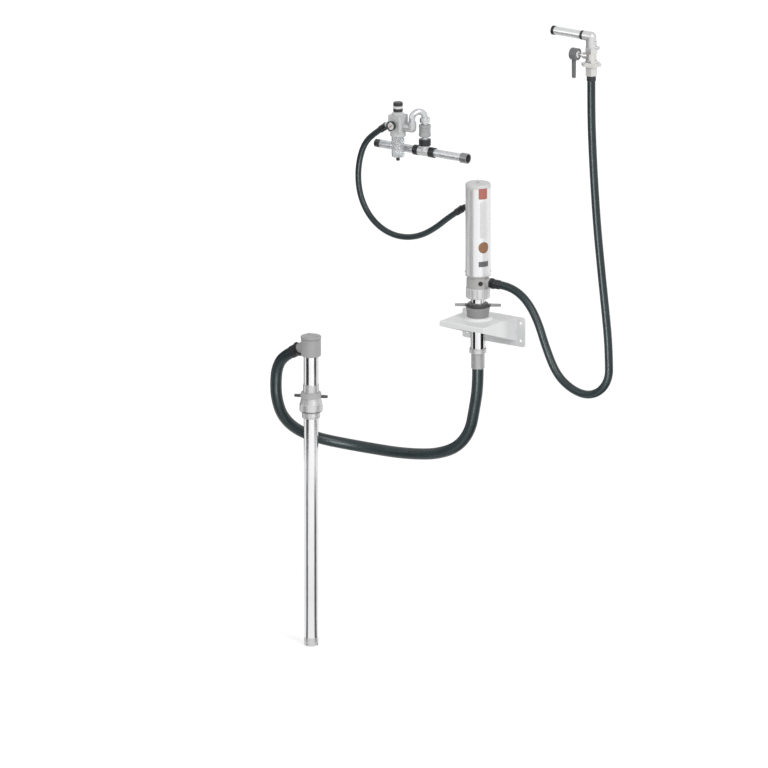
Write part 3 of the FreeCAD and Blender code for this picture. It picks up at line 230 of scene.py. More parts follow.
floor_half = 30
floor = flat_sheet("floor", [
    (aim.x + across * floor_half, aim.y + deep * floor_half, cad_low.z - floor_gap)
    for across, deep in ((-1, -1), (1, -1), (1, 1), (-1, 1))])
floor_white, floor_tree, shader = new_material("floor_white")
floor_tree.nodes.remove(shader)
floor_matt = add(floor_tree, "BsdfDiffuse", {"Color": (0.80, 0.80, 0.80, 1)})
far_off = add(floor_tree, "VectorMath", {
    0: add(floor_tree, "NewGeometry").outputs["Position"], 1: (aim.x, aim.y, cad_low.z)},
    operation="DISTANCE")
glow_near, glow_far = 0.50, 0.66
glow = add(floor_tree, "MapRange", {
    "Value": far_off.outputs["Value"], "From Min": 1.0, "From Max": 9.0,
    "To Min": glow_near, "To Max": glow_far})
floor_glow = add(floor_tree, "Emission", {
    "Strength": add(floor_tree, "Math", {0: seen_directly(floor_tree), 1: glow.outputs[0]},
                    operation="MULTIPLY").outputs[0]})
floor_both = add(floor_tree, "AddShader", {0: floor_matt.outputs[0], 1: floor_glow.outputs[0]})
floor_tree.links.new(floor_both.outputs[0],
                     floor_tree.nodes["Material Output"].inputs["Surface"])
floor.data.materials.append(floor_white)

# ---------------------------------------------------------------- hoses

# Three oil-proof rubber hoses: a 38 mm suction hose, a 27 mm delivery hose and a
# 20 mm air hose.  Each is wrapped in cloth while it is cured, which leaves fine
# cross marks in its blue-black cover, and is crimped into its ends.


def effect(name, inputs, outputs):
    """An empty shader node group, with what it takes and what it gives."""
    group = bpy.data.node_groups.new(name, "ShaderNodeTree")
    for socket, kind, value in inputs:
        made = group.interface.new_socket(socket, in_out="INPUT", socket_type="NodeSocket" + kind)
        made.default_value = value
    for socket, kind in outputs:
        group.interface.new_socket(socket, in_out="OUTPUT", socket_type="NodeSocket" + kind)
    taken = group.nodes.new("NodeGroupInput").outputs
    given = group.nodes.new("NodeGroupOutput").inputs
    return group, taken, given


def place_effect(tree, group, inputs):
    """One placing of an effect in a material, with its own values."""
    return add(tree, "Group", inputs, node_tree=group).outputs


def laid_over(tree, mask, below, above):
    """The colour below, with the colour above laid over it where the mask says."""
    first_colour, second_colour, mixed = 6, 7, 2
    return add(tree, "Mix", {"Factor": mask, first_colour: below, second_colour: above},
               data_type="RGBA").outputs[mixed]


def roughen(tree, shader, cloud, low, high):
    """Let the roughness follow a cloud or a mask, from low to high."""
    ranged = add(tree, "MapRange", {"Value": cloud, "To Min": low, "To Max": high})
    tree.links.new(ranged.outputs[0], shader.inputs["Roughness"])


# Uneven tone: the colour drifts a little lighter and darker in soft clouds.
uneven_tone, taken, given = effect("uneven_tone", [
    ("Colour", "Color", (0.5, 0.5, 0.5, 1)), ("Scale", "Float", 12.0),
    ("Spread", "Float", 0.1)], [("Colour", "Color"), ("Cloud", "Float")])
position = add(uneven_tone, "TexCoord").outputs["Object"]
cloud = add(uneven_tone, "TexNoise", {"Vector": position, "Scale": taken["Scale"], "Detail": 5.0,
                                      "Roughness": 0.6})
centred = add(uneven_tone, "MapRange", {"Value": cloud.outputs["Fac"], "From Min": 0.3,
                                        "From Max": 0.7, "To Min": -1.0, "To Max": 1.0})
swing = add(uneven_tone, "Math", {0: centred.outputs[0], 1: taken["Spread"], 2: 1.0},
            operation="MULTIPLY_ADD")
toned = add(uneven_tone, "HueSaturation", {"Color": taken["Colour"], "Value": swing.outputs[0]})
uneven_tone.links.new(toned.outputs[0], given["Colour"])
uneven_tone.links.new(cloud.outputs["Fac"], given["Cloud"])

# Settled dust: a thin pale film that gathers on faces that look up.
settled_dust, taken, given = effect("settled_dust", [
    ("Scale", "Float", 30.0), ("Amount", "Float", 0.3)], [("Mask", "Float")])
upward = add(settled_dust, "SeparateXYZ", {0: add(settled_dust, "NewGeometry").outputs["Normal"]})
lying = add(settled_dust, "MapRange", {"Value": upward.outputs["Z"], "From Min": 0.25,
                                       "From Max": 1.0})
patchy = add(settled_dust, "TexNoise", {
    "Vector": add(settled_dust, "TexCoord").outputs["Object"], "Scale": taken["Scale"],
    "Detail": 6.0, "Roughness": 0.65})
spots = add(settled_dust, "MapRange", {"Value": patchy.outputs["Fac"], "From Min": 0.35,
                                       "From Max": 0.75})
both = add(settled_dust, "Math", {0: lying.outputs[0], 1: spots.outputs[0]},
           operation="MULTIPLY")
dusty = add(settled_dust, "Math", {0: both.outputs[0], 1: taken["Amount"]}, operation="MULTIPLY")
settled_dust.links.new(dusty.outputs[0], given["Mask"])

hose_black, tree, shader = new_material("hose_black")
cover_tone = place_effect(tree, uneven_tone, {
    "Colour": (0.012, 0.019, 0.021, 1), "Scale": 9.0, "Spread": 0.25})
dust = place_effect(tree, settled_dust, {"Scale": 60.0, "Amount": 0.06})
dusted = laid_over(tree, dust["Mask"], cover_tone["Colour"], (0.30, 0.30, 0.29, 1))
tree.links.new(dusted, shader.inputs["Base Color"])
unrolled = add(tree, "SeparateXYZ", {0: add(tree, "TexCoord").outputs["UV"]})
wrap_turns = 900
wrap_threads = 46
wrap_marks = []
for out, count in (("X", wrap_turns), ("Y", wrap_threads)):
    phase = add(tree, "Math", {0: unrolled.outputs[out], 1: count * math.tau},
                operation="MULTIPLY")
    wrap_marks.append(add(tree, "Math", {0: phase.outputs[0]}, operation="SINE").outputs[0])
weave = add(tree, "Math", {0: wrap_marks[0], 1: wrap_marks[1]}, operation="MULTIPLY")
shader.inputs["Specular IOR Level"].default_value = 0.35
roughen(tree, shader, cover_tone["Cloud"], 0.20, 0.32)
wrap_bump = add(tree, "Bump", {"Height": weave.outputs[0], "Strength": 0.12,
                               "Distance": 0.0004})
tree.links.new(wrap_bump.outputs[0], shader.inputs["Normal"])


def hose(name, node, route, radius):
    """A hose along its route, which stands for its CAD tube."""
    line = bpy.data.curves.new(name, "CURVE")
    line.dimensions = "3D"
    line.bevel_depth = radius
    line.bevel_resolution = 8
    line.resolution_u = 10
    line.use_fill_caps = True
    spline = line.splines.new("NURBS")
    spline.points.add(len(route) - 1)
    for point, place in zip(spline.points, route):
        point.co = (*place, 1)
    spline.order_u = 3
    spline.use_endpoint_u = True
    made = bpy.data.objects.new(name, line)
    scene.collection.objects.link(made)
    hoses.objects.link(made)
    line.materials.append(hose_black)
    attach(made, "root")
    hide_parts(node)


delivery_route = [
    (0.088, -0.095, 0.178), (0.126, -0.095, 0.178), (0.186, -0.095, 0.151),
    (0.236, -0.095, 0.088), (0.275, -0.095, -0.015), (0.315, -0.095, -0.092),
    (0.372, -0.095, -0.133), (0.436, -0.095, -0.147), (0.492, -0.095, -0.124),
    (0.525, -0.095, -0.074), (0.524, -0.095, -0.012), (0.520, -0.095, 0.065),
    (0.508, -0.095, 0.165), (0.493, -0.095, 0.285), (0.477, -0.095, 0.420),
    (0.465, -0.095, 0.560), (0.456, -0.095, 0.700), (0.451, -0.095, 0.820),
    (0.451, -0.095, 0.925)]
air_route = [
    (-0.08677, -0.095, 0.39906), (-0.120, -0.095, 0.37579), (-0.165, -0.095, 0.338),
    (-0.220, -0.093, 0.303), (-0.280, -0.091, 0.283), (-0.343, -0.089, 0.281),
    (-0.402, -0.087, 0.300), (-0.450, -0.085, 0.338), (-0.482, -0.083, 0.392),
    (-0.494, -0.081, 0.455), (-0.489, -0.079, 0.517), (-0.472, -0.077, 0.569),
    (-0.443, -0.075, 0.60469), (-0.40677, -0.075, 0.63006)]
suction_route = [
    (0, -0.095, -0.119), (0, -0.095, -0.185), (-0.014, -0.095, -0.262),
    (-0.030, -0.095, -0.338), (-0.080, -0.095, -0.402), (-0.160, -0.095, -0.437),
    (-0.240, -0.095, -0.451), (-0.325, -0.097, -0.458), (-0.415, -0.108, -0.456),
    (-0.500, -0.140, -0.446), (-0.570, -0.195, -0.426), (-0.612, -0.262, -0.390),
    (-0.633, -0.318, -0.334), (-0.640, -0.342, -0.268), (-0.641, -0.345, -0.208),
    (-0.635, -0.345, -0.160), (-0.612, -0.345, -0.11934), (-0.57461, -0.345, -0.09776)]
hose("delivery_hose", "delivery_hose_tube", delivery_route, radius=0.0135)
hose("air_hose", "air_hose_tube", air_route, radius=0.010)
hose("suction_hose", "suction_hose_tube", suction_route, radius=0.019)

# ---------------------------------------------------------------- wall bracket

# Five-millimetre sheet steel, folded, welded and powder coated light grey.  The
# shelf's gussets are welded to the wall plate, and the threaded ring to the shelf.

# Rubbed edges: a mask of the sharp edges, broken up where a hand or tool passes.
rubbed_edges, taken, given = effect("rubbed_edges", [
    ("Width", "Float", 0.0015), ("Scale", "Float", 60.0), ("Amount", "Float", 0.5)],
    [("Mask", "Float")])
softened = add(rubbed_edges, "Bevel", {"Radius": taken["Width"]}, samples=4)
sharp = add(rubbed_edges, "VectorMath", {
    0: softened.outputs[0], 1: add(rubbed_edges, "NewGeometry").outputs["Normal"]},
    operation="DOT_PRODUCT")
edge = add(rubbed_edges, "MapRange", {"Value": sharp.outputs["Value"], "From Min": 0.995,
                                      "From Max": 0.86})
broken = add(rubbed_edges, "TexNoise", {
    "Vector": add(rubbed_edges, "TexCoord").outputs["Object"], "Scale": taken["Scale"],
    "Detail": 4.0})
kept = add(rubbed_edges, "MapRange", {"Value": broken.outputs["Fac"], "From Min": 0.4,
                                      "From Max": 0.62})
worn = add(rubbed_edges, "Math", {0: edge.outputs[0], 1: kept.outputs[0]},
           operation="MULTIPLY")
worn = add(rubbed_edges, "Math", {0: worn.outputs[0], 1: taken["Amount"]},
           operation="MULTIPLY")
rubbed_edges.links.new(worn.outputs[0], given["Mask"])

# Fine skin: orange peel, casting sand or moulding grain, by its scale.
fine_skin, taken, given = effect("fine_skin", [
    ("Scale", "Float", 400.0), ("Coarse", "Float", 0.3)], [("Height", "Float")])
position = add(fine_skin, "TexCoord").outputs["Object"]
small = add(fine_skin, "TexNoise", {"Vector": position, "Scale": taken["Scale"], "Detail": 3.0})
large_scale = add(fine_skin, "Math", {0: taken["Scale"], 1: 0.22}, operation="MULTIPLY")
large = add(fine_skin, "TexNoise", {"Vector": position, "Scale": large_scale.outputs[0],
                                    "Detail": 2.0})
skin_both = add(fine_skin, "Mix", {"Factor": taken["Coarse"], 2: small.outputs["Fac"],
                                   3: large.outputs["Fac"]}, data_type="FLOAT")
fine_skin.links.new(skin_both.outputs[0], given["Height"])

# Tool lines: the fine lines of turning, drawing or brushing, by their stretch.
tool_lines, taken, given = effect("tool_lines", [
    ("Stretch", "Vector", (40.0, 40.0, 1500.0))], [("Height", "Float"), ("Mask", "Float")])
stretched = add(tool_lines, "VectorMath", {
    0: add(tool_lines, "TexCoord").outputs["Object"], 1: taken["Stretch"]},
    operation="MULTIPLY")
lines = add(tool_lines, "TexNoise", {"Vector": stretched.outputs[0], "Scale": 1.0, "Detail": 3.0,
                                     "Roughness": 0.6})
line_mask = add(tool_lines, "MapRange", {"Value": lines.outputs["Fac"], "From Min": 0.35,
                                         "From Max": 0.65})
tool_lines.links.new(lines.outputs["Fac"], given["Height"])
tool_lines.links.new(line_mask.outputs[0], given["Mask"])

# Coat band: a mask of the zone between two heights along one axis of the set.
coat_band, taken, given = effect("coat_band", [
    ("Place", "Float", 0.0), ("Low", "Float", 0.0), ("High", "Float", 1.0)],
    [("Mask", "Float")])
over = add(coat_band, "Math", {0: taken["Place"], 1: taken["Low"]}, operation="GREATER_THAN")
under = add(coat_band, "Math", {0: taken["Place"], 1: taken["High"]}, operation="LESS_THAN")
inside = add(coat_band, "Math", {0: over.outputs[0], 1: under.outputs[0]}, operation="MULTIPLY")
coat_band.links.new(inside.outputs[0], given["Mask"])


def banded(tree, shown, colour, zones):
    """Lay a second coat over zones.

    A zone is an axis with its low and high end, or an upright line with its near and
    far distance.
    """
    position = add(tree, "TexCoord").outputs["Object"]
    spot = add(tree, "SeparateXYZ", {0: position})
    for axis, low, high in zones:
        if isinstance(axis, Vector):
            off = add(tree, "VectorMath", {0: position, 1: axis}, operation="SUBTRACT")
            level = add(tree, "VectorMath", {0: off.outputs[0], 1: (1, 1, 0)},
                        operation="MULTIPLY")
            place = add(tree, "VectorMath", {0: level.outputs[0]},
                        operation="LENGTH").outputs["Value"]
        else:
            place = spot.outputs[axis]
        mask = place_effect(tree, coat_band, {"Place": place, "Low": low, "High": high})["Mask"]
        shown = laid_over(tree, mask, shown, (*colour, 1))
    return shown


dust_colour = (0.46, 0.44, 0.41, 1)


def finish(name, colour, rough, metallic=0.0, drift=(14.0, 0.06), skin=None, lines=None,
           depth=0.0001, rubbed=None, dust=0.0, coat=0.0, rough_spread=0.06, bands=None):
    """A coated, cast, moulded or machined surface.

    drift is the scale and spread of its tone.  skin is a scale and a coarseness, lines
    a stretch, and depth how deep either goes.  rubbed is a colour, width and amount, and
    bands a second colour with its zones.
    """
    material, tree, shader = new_material(name)
    shader.inputs["Metallic"].default_value = metallic
    shader.inputs["Coat Weight"].default_value = coat
    tone = place_effect(tree, uneven_tone, {
        "Colour": (*colour, 1), "Scale": drift[0], "Spread": drift[1]})
    shown = tone["Colour"]
    if rubbed:
        bare, width, amount = rubbed
        mask = place_effect(tree, rubbed_edges, {"Width": width, "Amount": amount})["Mask"]
        shown = laid_over(tree, mask, shown, (*bare, 1))
    if bands:
        shown = banded(tree, shown, *bands)
    if dust:
        mask = place_effect(tree, settled_dust, {"Amount": dust})["Mask"]
        shown = laid_over(tree, mask, shown, dust_colour)
    tree.links.new(shown, shader.inputs["Base Color"])
    height, varied = None, tone["Cloud"]
    if skin:
        height = place_effect(tree, fine_skin, {"Scale": skin[0], "Coarse": skin[1]})["Height"]
    if lines:
        drawn = place_effect(tree, tool_lines, {"Stretch": lines})
        height, varied = drawn["Height"], drawn["Mask"]
    roughen(tree, shader, varied, rough - rough_spread, rough + rough_spread)
    if height:
        bump = add(tree, "Bump", {"Height": height, "Distance": depth})
        tree.links.new(bump.outputs[0], shader.inputs["Normal"])
    return material


def dress(material, *names):
    """Give CAD nodes their material."""
    for name in names:
        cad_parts[name].material_slots[0].material = material


bracket_coat = finish("bracket_coat", (0.88, 0.885, 0.89), 0.42, drift=(6.0, 0.03),
                      skin=(900.0, 0.5), depth=0.00012,
                      rubbed=((0.56, 0.56, 0.57), 0.0012, 0.45), dust=0.05)
dress(bracket_coat, "wall_plate", "bracket_shelf")


def add_piece(name, shell, material, body, smooth=True):
    """Make a piece of its shell, and let it ride on its body."""
    mesh = bpy.data.meshes.new(name)
    bmesh.ops.recalc_face_normals(shell, faces=shell.faces)
    for face in shell.faces:
        face.smooth = smooth
    shell.to_mesh(mesh)
    shell.free()
    made = bpy.data.objects.new(name, mesh)
    scene.collection.objects.link(made)
    mesh.materials.append(material)
    if smooth:
        mesh.set_sharp_from_angle(angle=math.radians(35))
    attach(made, body)


def ring_round(shell, centre, side, other, radius, sides):
    """Add a ring of corners round a centre, in the plane of side and other."""
    turns = (math.tau * step / sides for step in range(sides))
    return [shell.verts.new(centre + radius * (side * math.cos(turn) + other * math.sin(turn)))
            for turn in turns]


def bridge(shell, low, high):
    """Add the faces between two rings, either of which may be a single corner."""
    for corner, (here, above) in enumerate(zip(low, high)):
        after = (corner + 1) % len(low)
        shell.faces.new(list(dict.fromkeys((here, low[after], high[after], above))))


def sweep(shell, centres, radii, closed, sides=8):
    """Add a round tube through centres, its radius given at each of them."""
    rings = []
    count = len(centres)
    for step, centre in enumerate(centres):
        before = centres[step - 1] if step or closed else centre
        after = centres[(step + 1) % count] if step + 1 < count or closed else centre
        way = (after - before).normalized()
        first = way.orthogonal() if not rings else side - way * side.dot(way)
        side = first.normalized()
        other = way.cross(side)
        rings.append(ring_round(shell, centre, side, other, radii[step], sides))
    for low, high in list(zip(rings, rings[1:])) + ([(rings[-1], rings[0])] if closed else []):
        bridge(shell, low, high)
    if not closed:
        shell.faces.new(rings[0][::-1])
        shell.faces.new(rings[-1])


def lathe(shell, at, way, outline, sides=40):
    """Add a turned piece, whose outline is radius and height along way from at."""
    first = way.orthogonal().normalized()
    other = way.cross(first)
    rings = []
    for radius, height in outline:
        if radius == 0:
            rings.append([shell.verts.new(at + way * height)] * sides)
            continue
        rings.append(ring_round(shell, at + way * height, first, other, radius, sides))
    for low, high in zip(rings, rings[1:]):
        bridge(shell, low, high)


def screw_head(shell, at, way, radius, tall):
    """Add a round screw head with a hexagon socket."""
    socket_wide, socket_deep = radius * 0.52, tall * 0.55
    rim_wide, rim_low = radius * 0.88, tall * 0.8
    lathe(shell, at, way, [(0, 0), (radius, 0), (radius, rim_low), (rim_wide, tall),
                           (socket_wide, tall)], sides=24)
    lathe(shell, at, way, [(socket_wide, tall), (socket_wide, tall - socket_deep),
                           (0, tall - socket_deep)], sides=6)


def screw_thread(shell, at, way, radius, pitch, length, ridge):
    """Add the ridge of a screw thread, wound along way from at."""
    first = way.orthogonal().normalized()
    other = way.cross(first)
    round_steps = 36
    centres = []
    for step in range(int(length / pitch * round_steps) + 1):
        turn = math.tau * step / round_steps
        centres.append(at + way * (pitch * step / round_steps) + radius * (
            first * math.cos(turn) + other * math.sin(turn)))
    sweep(shell, centres, [ridge] * len(centres), False, sides=5)


def weld_bead(shell, points, radius, closed=False):
    """Add a weld along straight runs, with the ripples of its weld pool."""
    ripple_long, ripple_steps = 0.0022, 4
    ripple_deep, drift_deep, drift_pace = 0.16, 0.05, 0.37
    centres, radii = [], []
    runs = list(zip(points, points[1:])) + ([(points[-1], points[0])] if closed else [])
    step = 0
    for start, end in runs:
        count = max(2, round((end - start).length / ripple_long * ripple_steps))
        for part in range(count):
            centres.append(start.lerp(end, part / count))
            radii.append(radius * (1 + ripple_deep * math.sin(math.tau * step / ripple_steps)
                                   + drift_deep * math.sin(step * drift_pace)))
            step += 1
    if not closed:
        centres.append(points[-1])
        radii.append(radius)
    sweep(shell, centres, radii, closed, sides=8)


shelf_low, shelf_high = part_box("bracket_shelf")
plate_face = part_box("wall_plate")[0].y
ring_outer = 0.045
bead_radius = 0.0026
bead_inset = 0.004
welds = bmesh.new()
for side in (shelf_low.x, shelf_high.x):
    weld_bead(welds, [Vector((side, plate_face, shelf_low.z + bead_inset)),
                      Vector((side, plate_face, shelf_top - bead_inset))], bead_radius)
ring_steps = 48
round_ring = [pump_axis + Vector((ring_outer * math.cos(turn), ring_outer * math.sin(turn),
                                  shelf_top))
              for turn in (math.tau * step / ring_steps for step in range(ring_steps))]
weld_bead(welds, round_ring, bead_radius, closed=True)
add_piece("bracket_welds", welds, bracket_coat, "root")

# ---------------------------------------------------------------- adaptor and wing ring

# The adaptor is a dark grey die casting that screws into the bracket's ring.  The
# wing ring above it is cast as well, and squeezes a bronze collet on the tube.
adaptor_grey = finish("adaptor_grey", (0.30, 0.30, 0.30), 0.48, drift=(20.0, 0.12),
                      skin=(700.0, 0.45), depth=0.00025,
                      rubbed=((0.42, 0.42, 0.42), 0.0012, 0.5), dust=0.12)
ring_wings = (pump_axis, 0.043, 0.10)
ring_dark = finish("ring_dark", (0.055, 0.055, 0.056), 0.42, drift=(20.0, 0.15),
                   skin=(800.0, 0.4), depth=0.0002,
                   rubbed=((0.30, 0.30, 0.30), 0.001, 0.6), dust=0.15,
                   bands=((0.38, 0.38, 0.38), [ring_wings]))
bronze = finish("bronze", (0.42, 0.26, 0.12), 0.34, metallic=1.0, lines=(60.0, 60.0, 1800.0))
dress(adaptor_grey, "pump_adaptor")
dress(ring_dark, "wall_wing_ring")
dress(bronze, "collet")

# ---------------------------------------------------------------- pump tube and ring nut

# The pump tube is polished chromed steel, with a steel liner and seat inside.  A
# notched ring nut of bright zinc-plated steel pulls its flange to the outlet body.
chrome = finish("chrome", (0.66, 0.66, 0.67), 0.06, metallic=1.0, drift=(8.0, 0.02),
                lines=(900.0, 900.0, 12.0), depth=0.00001, rough_spread=0.02)
ground_steel = finish("ground_steel", (0.55, 0.55, 0.56), 0.24, metallic=1.0,
                      lines=(50.0, 50.0, 1500.0), depth=0.00002)
nut_zinc = finish("nut_zinc", (0.66, 0.66, 0.66), 0.36, metallic=0.55, drift=(30.0, 0.06),
                  lines=(50.0, 50.0, 1400.0), depth=0.00004,
                  rubbed=((0.85, 0.85, 0.85), 0.001, 0.5), dust=0.08)
seal_black = finish("seal_black", (0.012, 0.012, 0.013), 0.55, skin=(1200.0, 0.3),
                    depth=0.00005)
dress(chrome, "pump_tube")
dress(ground_steel, "pump_liner", "suction_seat", "suction_ball", "check_ball", "foot_ball",
      "piston_rod", "piston_bolt", "pump_piston", "valve_spool", "valve_plug", "tie_rods",
      "valve_stem")
dress(nut_zinc, "ring_nut")
dress(seal_black, "piston_seals", "bung_gasket")

# ---------------------------------------------------------------- outlet body and air motor

# The outlet body and the motor's lower head are grey painted castings.  The motor
# itself, of turned aluminium with a foam silencer, is out of sight in the cover.
casting_grey = finish("casting_grey", (0.46, 0.455, 0.45), 0.46, drift=(22.0, 0.08),
                      skin=(650.0, 0.5), depth=0.0002,
                      rubbed=((0.66, 0.66, 0.66), 0.0012, 0.45), dust=0.10)
head_grey = finish("head_grey", (0.52, 0.515, 0.51), 0.40, metallic=0.2, drift=(22.0, 0.06),
                   lines=(50.0, 50.0, 1300.0), depth=0.00004,
                   rubbed=((0.75, 0.75, 0.75), 0.001, 0.4), dust=0.08)
turned_aluminium = finish("turned_aluminium", (0.72, 0.72, 0.73), 0.32, metallic=1.0,
                          lines=(50.0, 50.0, 1500.0), depth=0.00003)
foam_grey = finish("foam_grey", (0.09, 0.09, 0.10), 0.95, skin=(1500.0, 0.6), depth=0.001,
                   rough_spread=0.03)
dress(casting_grey, "outlet_body")
dress(head_grey, "lower_head")
dress(turned_aluminium, "motor_cylinder", "upper_head", "air_piston")
dress(bronze, "rod_gland")
dress(foam_grey, "silencer")


def outward(turn):
    """A level direction, by its turn from the front towards the right."""
    angle = math.radians(turn)
    return Vector((math.sin(angle), -math.cos(angle), 0))


# A black screwed plug closes a second mouth of the outlet body, beside the hose.
outlet_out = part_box("outlet_body")[1].y - pump_axis.y
outlet_height = 0.178
plug_way = outward(47.5)
plug_radius, plug_tall, plug_bevel, plug_sunk = 0.0075, 0.004, 0.001, 0.001
plug = bmesh.new()
lathe(plug, pump_axis + plug_way * (outlet_out - plug_sunk) + upright * outlet_height,
      plug_way, [(0, 0), (plug_radius, 0), (plug_radius, plug_tall - plug_bevel),
                 (plug_radius - plug_bevel, plug_tall), (0, plug_tall)], sides=24)
plug_black = finish("plug_black", (0.02, 0.021, 0.022), 0.4, metallic=0.3,
                    skin=(1200.0, 0.3), depth=0.00005)
add_piece("outlet_plug", plug, plug_black, "root")

# ---------------------------------------------------------------- cover and cap

# A satin silver cover of drawn aluminium slips down over the motor, and a moulded
# cap closes it.  Plain printed foils mark its front.
cover_satin = finish("cover_satin", (0.80, 0.80, 0.81), 0.30, metallic=0.62, drift=(5.0, 0.02),
                     lines=(700.0, 700.0, 9.0), depth=0.00002, rough_spread=0.05)
cap_moulding = finish("cap_moulding", (0.70, 0.695, 0.69), 0.40, drift=(16.0, 0.03),
                      skin=(1300.0, 0.3), depth=0.00006, dust=0.08)
dress(cover_satin, "motor_cover")
dress(cap_moulding, "top_cap")


same_place = 1e-6


def foil(name, material, middle_turn, wide, low, high, corner):
    """A printed foil on the cover: a patch with rounded corners, bent round it."""
    foil_thick = 0.0003
    cover_low, cover_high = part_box("motor_cover")
    cover_radius = (cover_high.x - cover_low.x) / 2
    columns = 24
    shell = bmesh.new()
    strips = []
    for step in range(columns + 1):
        across = -wide / 2 + wide * step / columns
        from_edge = wide / 2 - abs(across)
        inset = 0.0
        if from_edge < corner:
            inset = corner - math.sqrt(max(0.0, corner ** 2 - (corner - from_edge) ** 2))
        way = outward(middle_turn + math.degrees(across / cover_radius))
        strip = []
        for height in (low + inset, high - inset):
            for out in (0, foil_thick):
                strip.append(shell.verts.new(pump_axis + way * (cover_radius + out)
                                             + upright * height))
        strips.append(strip)
    for left, right in zip(strips, strips[1:]):
        for one, two in ((0, 1), (1, 3), (3, 2), (2, 0)):
            shell.faces.new((left[one], left[two], right[two], right[one]))
    for end in (strips[0], strips[-1]):
        shell.faces.new((end[0], end[1], end[3], end[2]))
    bmesh.ops.remove_doubles(shell, verts=shell.verts, dist=same_place)
    add_piece(name, shell, material, "root")


# One screw holds the cap, and three hold the cover's foot.
cap_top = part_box("top_cap")[1].z
cover_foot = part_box("motor_cover")[0].z
cover_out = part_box("motor_cover")[1].y - pump_axis.y
foot_screw_high = 0.009
cap_screw_sunk, foot_screw_sunk = 0.0005, 0.0003
cover_screws = bmesh.new()
screw_head(cover_screws, pump_axis + upright * (cap_top - cap_screw_sunk), upright,
           radius=0.0055, tall=0.003)
for turn in (-50, 130, 220):
    way = outward(turn)
    screw_head(cover_screws, pump_axis + way * (cover_out - foot_screw_sunk)
               + upright * (cover_foot + foot_screw_high), way, radius=0.0038, tall=0.0022)
add_piece("cover_screws", cover_screws, ground_steel, "root")

foil_turn = 62
coral_foil = finish("coral_foil", (0.45, 0.14, 0.11), 0.38, drift=(60.0, 0.08),
                    skin=(1500.0, 0.2), depth=0.00002, coat=0.3)
pale_foil = finish("pale_foil", (0.74, 0.735, 0.74), 0.35, drift=(40.0, 0.04),
                   skin=(1500.0, 0.2), depth=0.00002, coat=0.3)
amber_foil = finish("amber_foil", (0.28, 0.13, 0.055), 0.36, drift=(60.0, 0.12),
                    skin=(1500.0, 0.2), depth=0.00002, coat=0.3)
slate_foil = finish("slate_foil", (0.11, 0.115, 0.12), 0.36, drift=(60.0, 0.1),
                    skin=(1500.0, 0.2), depth=0.00002, coat=0.3)
foil("accent_foil", coral_foil, foil_turn - 4, wide=0.031, low=0.466, high=0.502,
     corner=0.003)
foil("pale_label", pale_foil, foil_turn - 2, wide=0.024, low=0.334, high=0.456,
     corner=0.003)
foil("round_mark", amber_foil, foil_turn, wide=0.038, low=0.282, high=0.320, corner=0.019)
foil("slate_band", slate_foil, foil_turn, wide=0.036, low=0.236, high=0.254, corner=0.002)

# ---------------------------------------------------------------- suction union and hose ends

# The suction hose is clamped to the pump's foot by a round union nut, with a long
# zinc-plated ferrule.  The other ends have blackened hexagon nuts and crimps.
union_zinc = finish("union_zinc", (0.62, 0.62, 0.625), 0.34, metallic=0.6, drift=(26.0, 0.06),
                    lines=(50.0, 50.0, 1500.0), depth=0.00004,
                    rubbed=((0.80, 0.80, 0.80), 0.001, 0.4))
end_black = finish("end_black", (0.022, 0.024, 0.026), 0.36, metallic=0.3, drift=(30.0, 0.15),
                   skin=(900.0, 0.3), depth=0.0001,
                   rubbed=((0.16, 0.16, 0.17), 0.0008, 0.6))
ferrule_grey = finish("ferrule_grey", (0.46, 0.46, 0.465), 0.38, metallic=0.5,
                      drift=(26.0, 0.06), lines=(50.0, 50.0, 1500.0), depth=0.00004,
                      rubbed=((0.70, 0.70, 0.70), 0.001, 0.4))
valve_nut = ("Z", 0.90, 1.10)
nut_black = finish("nut_black", (0.022, 0.024, 0.026), 0.36, metallic=0.3, drift=(30.0, 0.15),
                   skin=(900.0, 0.3), depth=0.0001, rubbed=((0.16, 0.16, 0.17), 0.0008, 0.6),
                   bands=((0.66, 0.655, 0.64), [valve_nut]))
dress(union_zinc, "suction_union_nut")
dress(ferrule_grey, "suction_ferrule")
dress(end_black, "hose_crimps")
dress(nut_black, "hose_nuts")

# ---------------------------------------------------------------- filter-regulator

# A grey die-cast filter-regulator with a black knob, a small dial gauge, a clear
# bowl with its sintered element, and a drain screw at the foot.
regulator_pale = finish("regulator_pale", (0.62, 0.625, 0.63), 0.42, drift=(24.0, 0.05),
                        skin=(700.0, 0.4), depth=0.00015,
                        rubbed=((0.80, 0.80, 0.80), 0.001, 0.4), dust=0.1)
knob_black = finish("knob_black", (0.028, 0.029, 0.031), 0.42, drift=(30.0, 0.1),
                    skin=(1400.0, 0.3), depth=0.00008, dust=0.12)
gauge_black = finish("gauge_black", (0.016, 0.016, 0.017), 0.32, drift=(30.0, 0.1),
                     skin=(1100.0, 0.3), depth=0.00008,
                     rubbed=((0.14, 0.14, 0.14), 0.0008, 0.5))
sintered = finish("sintered", (0.80, 0.79, 0.75), 0.85, skin=(1600.0, 0.6), depth=0.0005)
needle_red = finish("needle_red", (0.45, 0.03, 0.02), 0.4, skin=(1500.0, 0.2), depth=0.00002)
pump_elbow = ("X", -0.20, 0.10)
elbow_pale = finish("elbow_pale", (0.56, 0.56, 0.565), 0.38, metallic=0.5, drift=(26.0, 0.06),
                    skin=(900.0, 0.3), depth=0.0001, rubbed=((0.78, 0.78, 0.78), 0.001, 0.4),
                    bands=((0.022, 0.024, 0.026), [pump_elbow]))
dress(regulator_pale, "regulator_body")
dress(elbow_pale, "air_elbows")
dress(knob_black, "regulator_knob", "drain_knob")
dress(gauge_black, "gauge_case")
dress(sintered, "filter_element")
dress(needle_red, "gauge_needle")


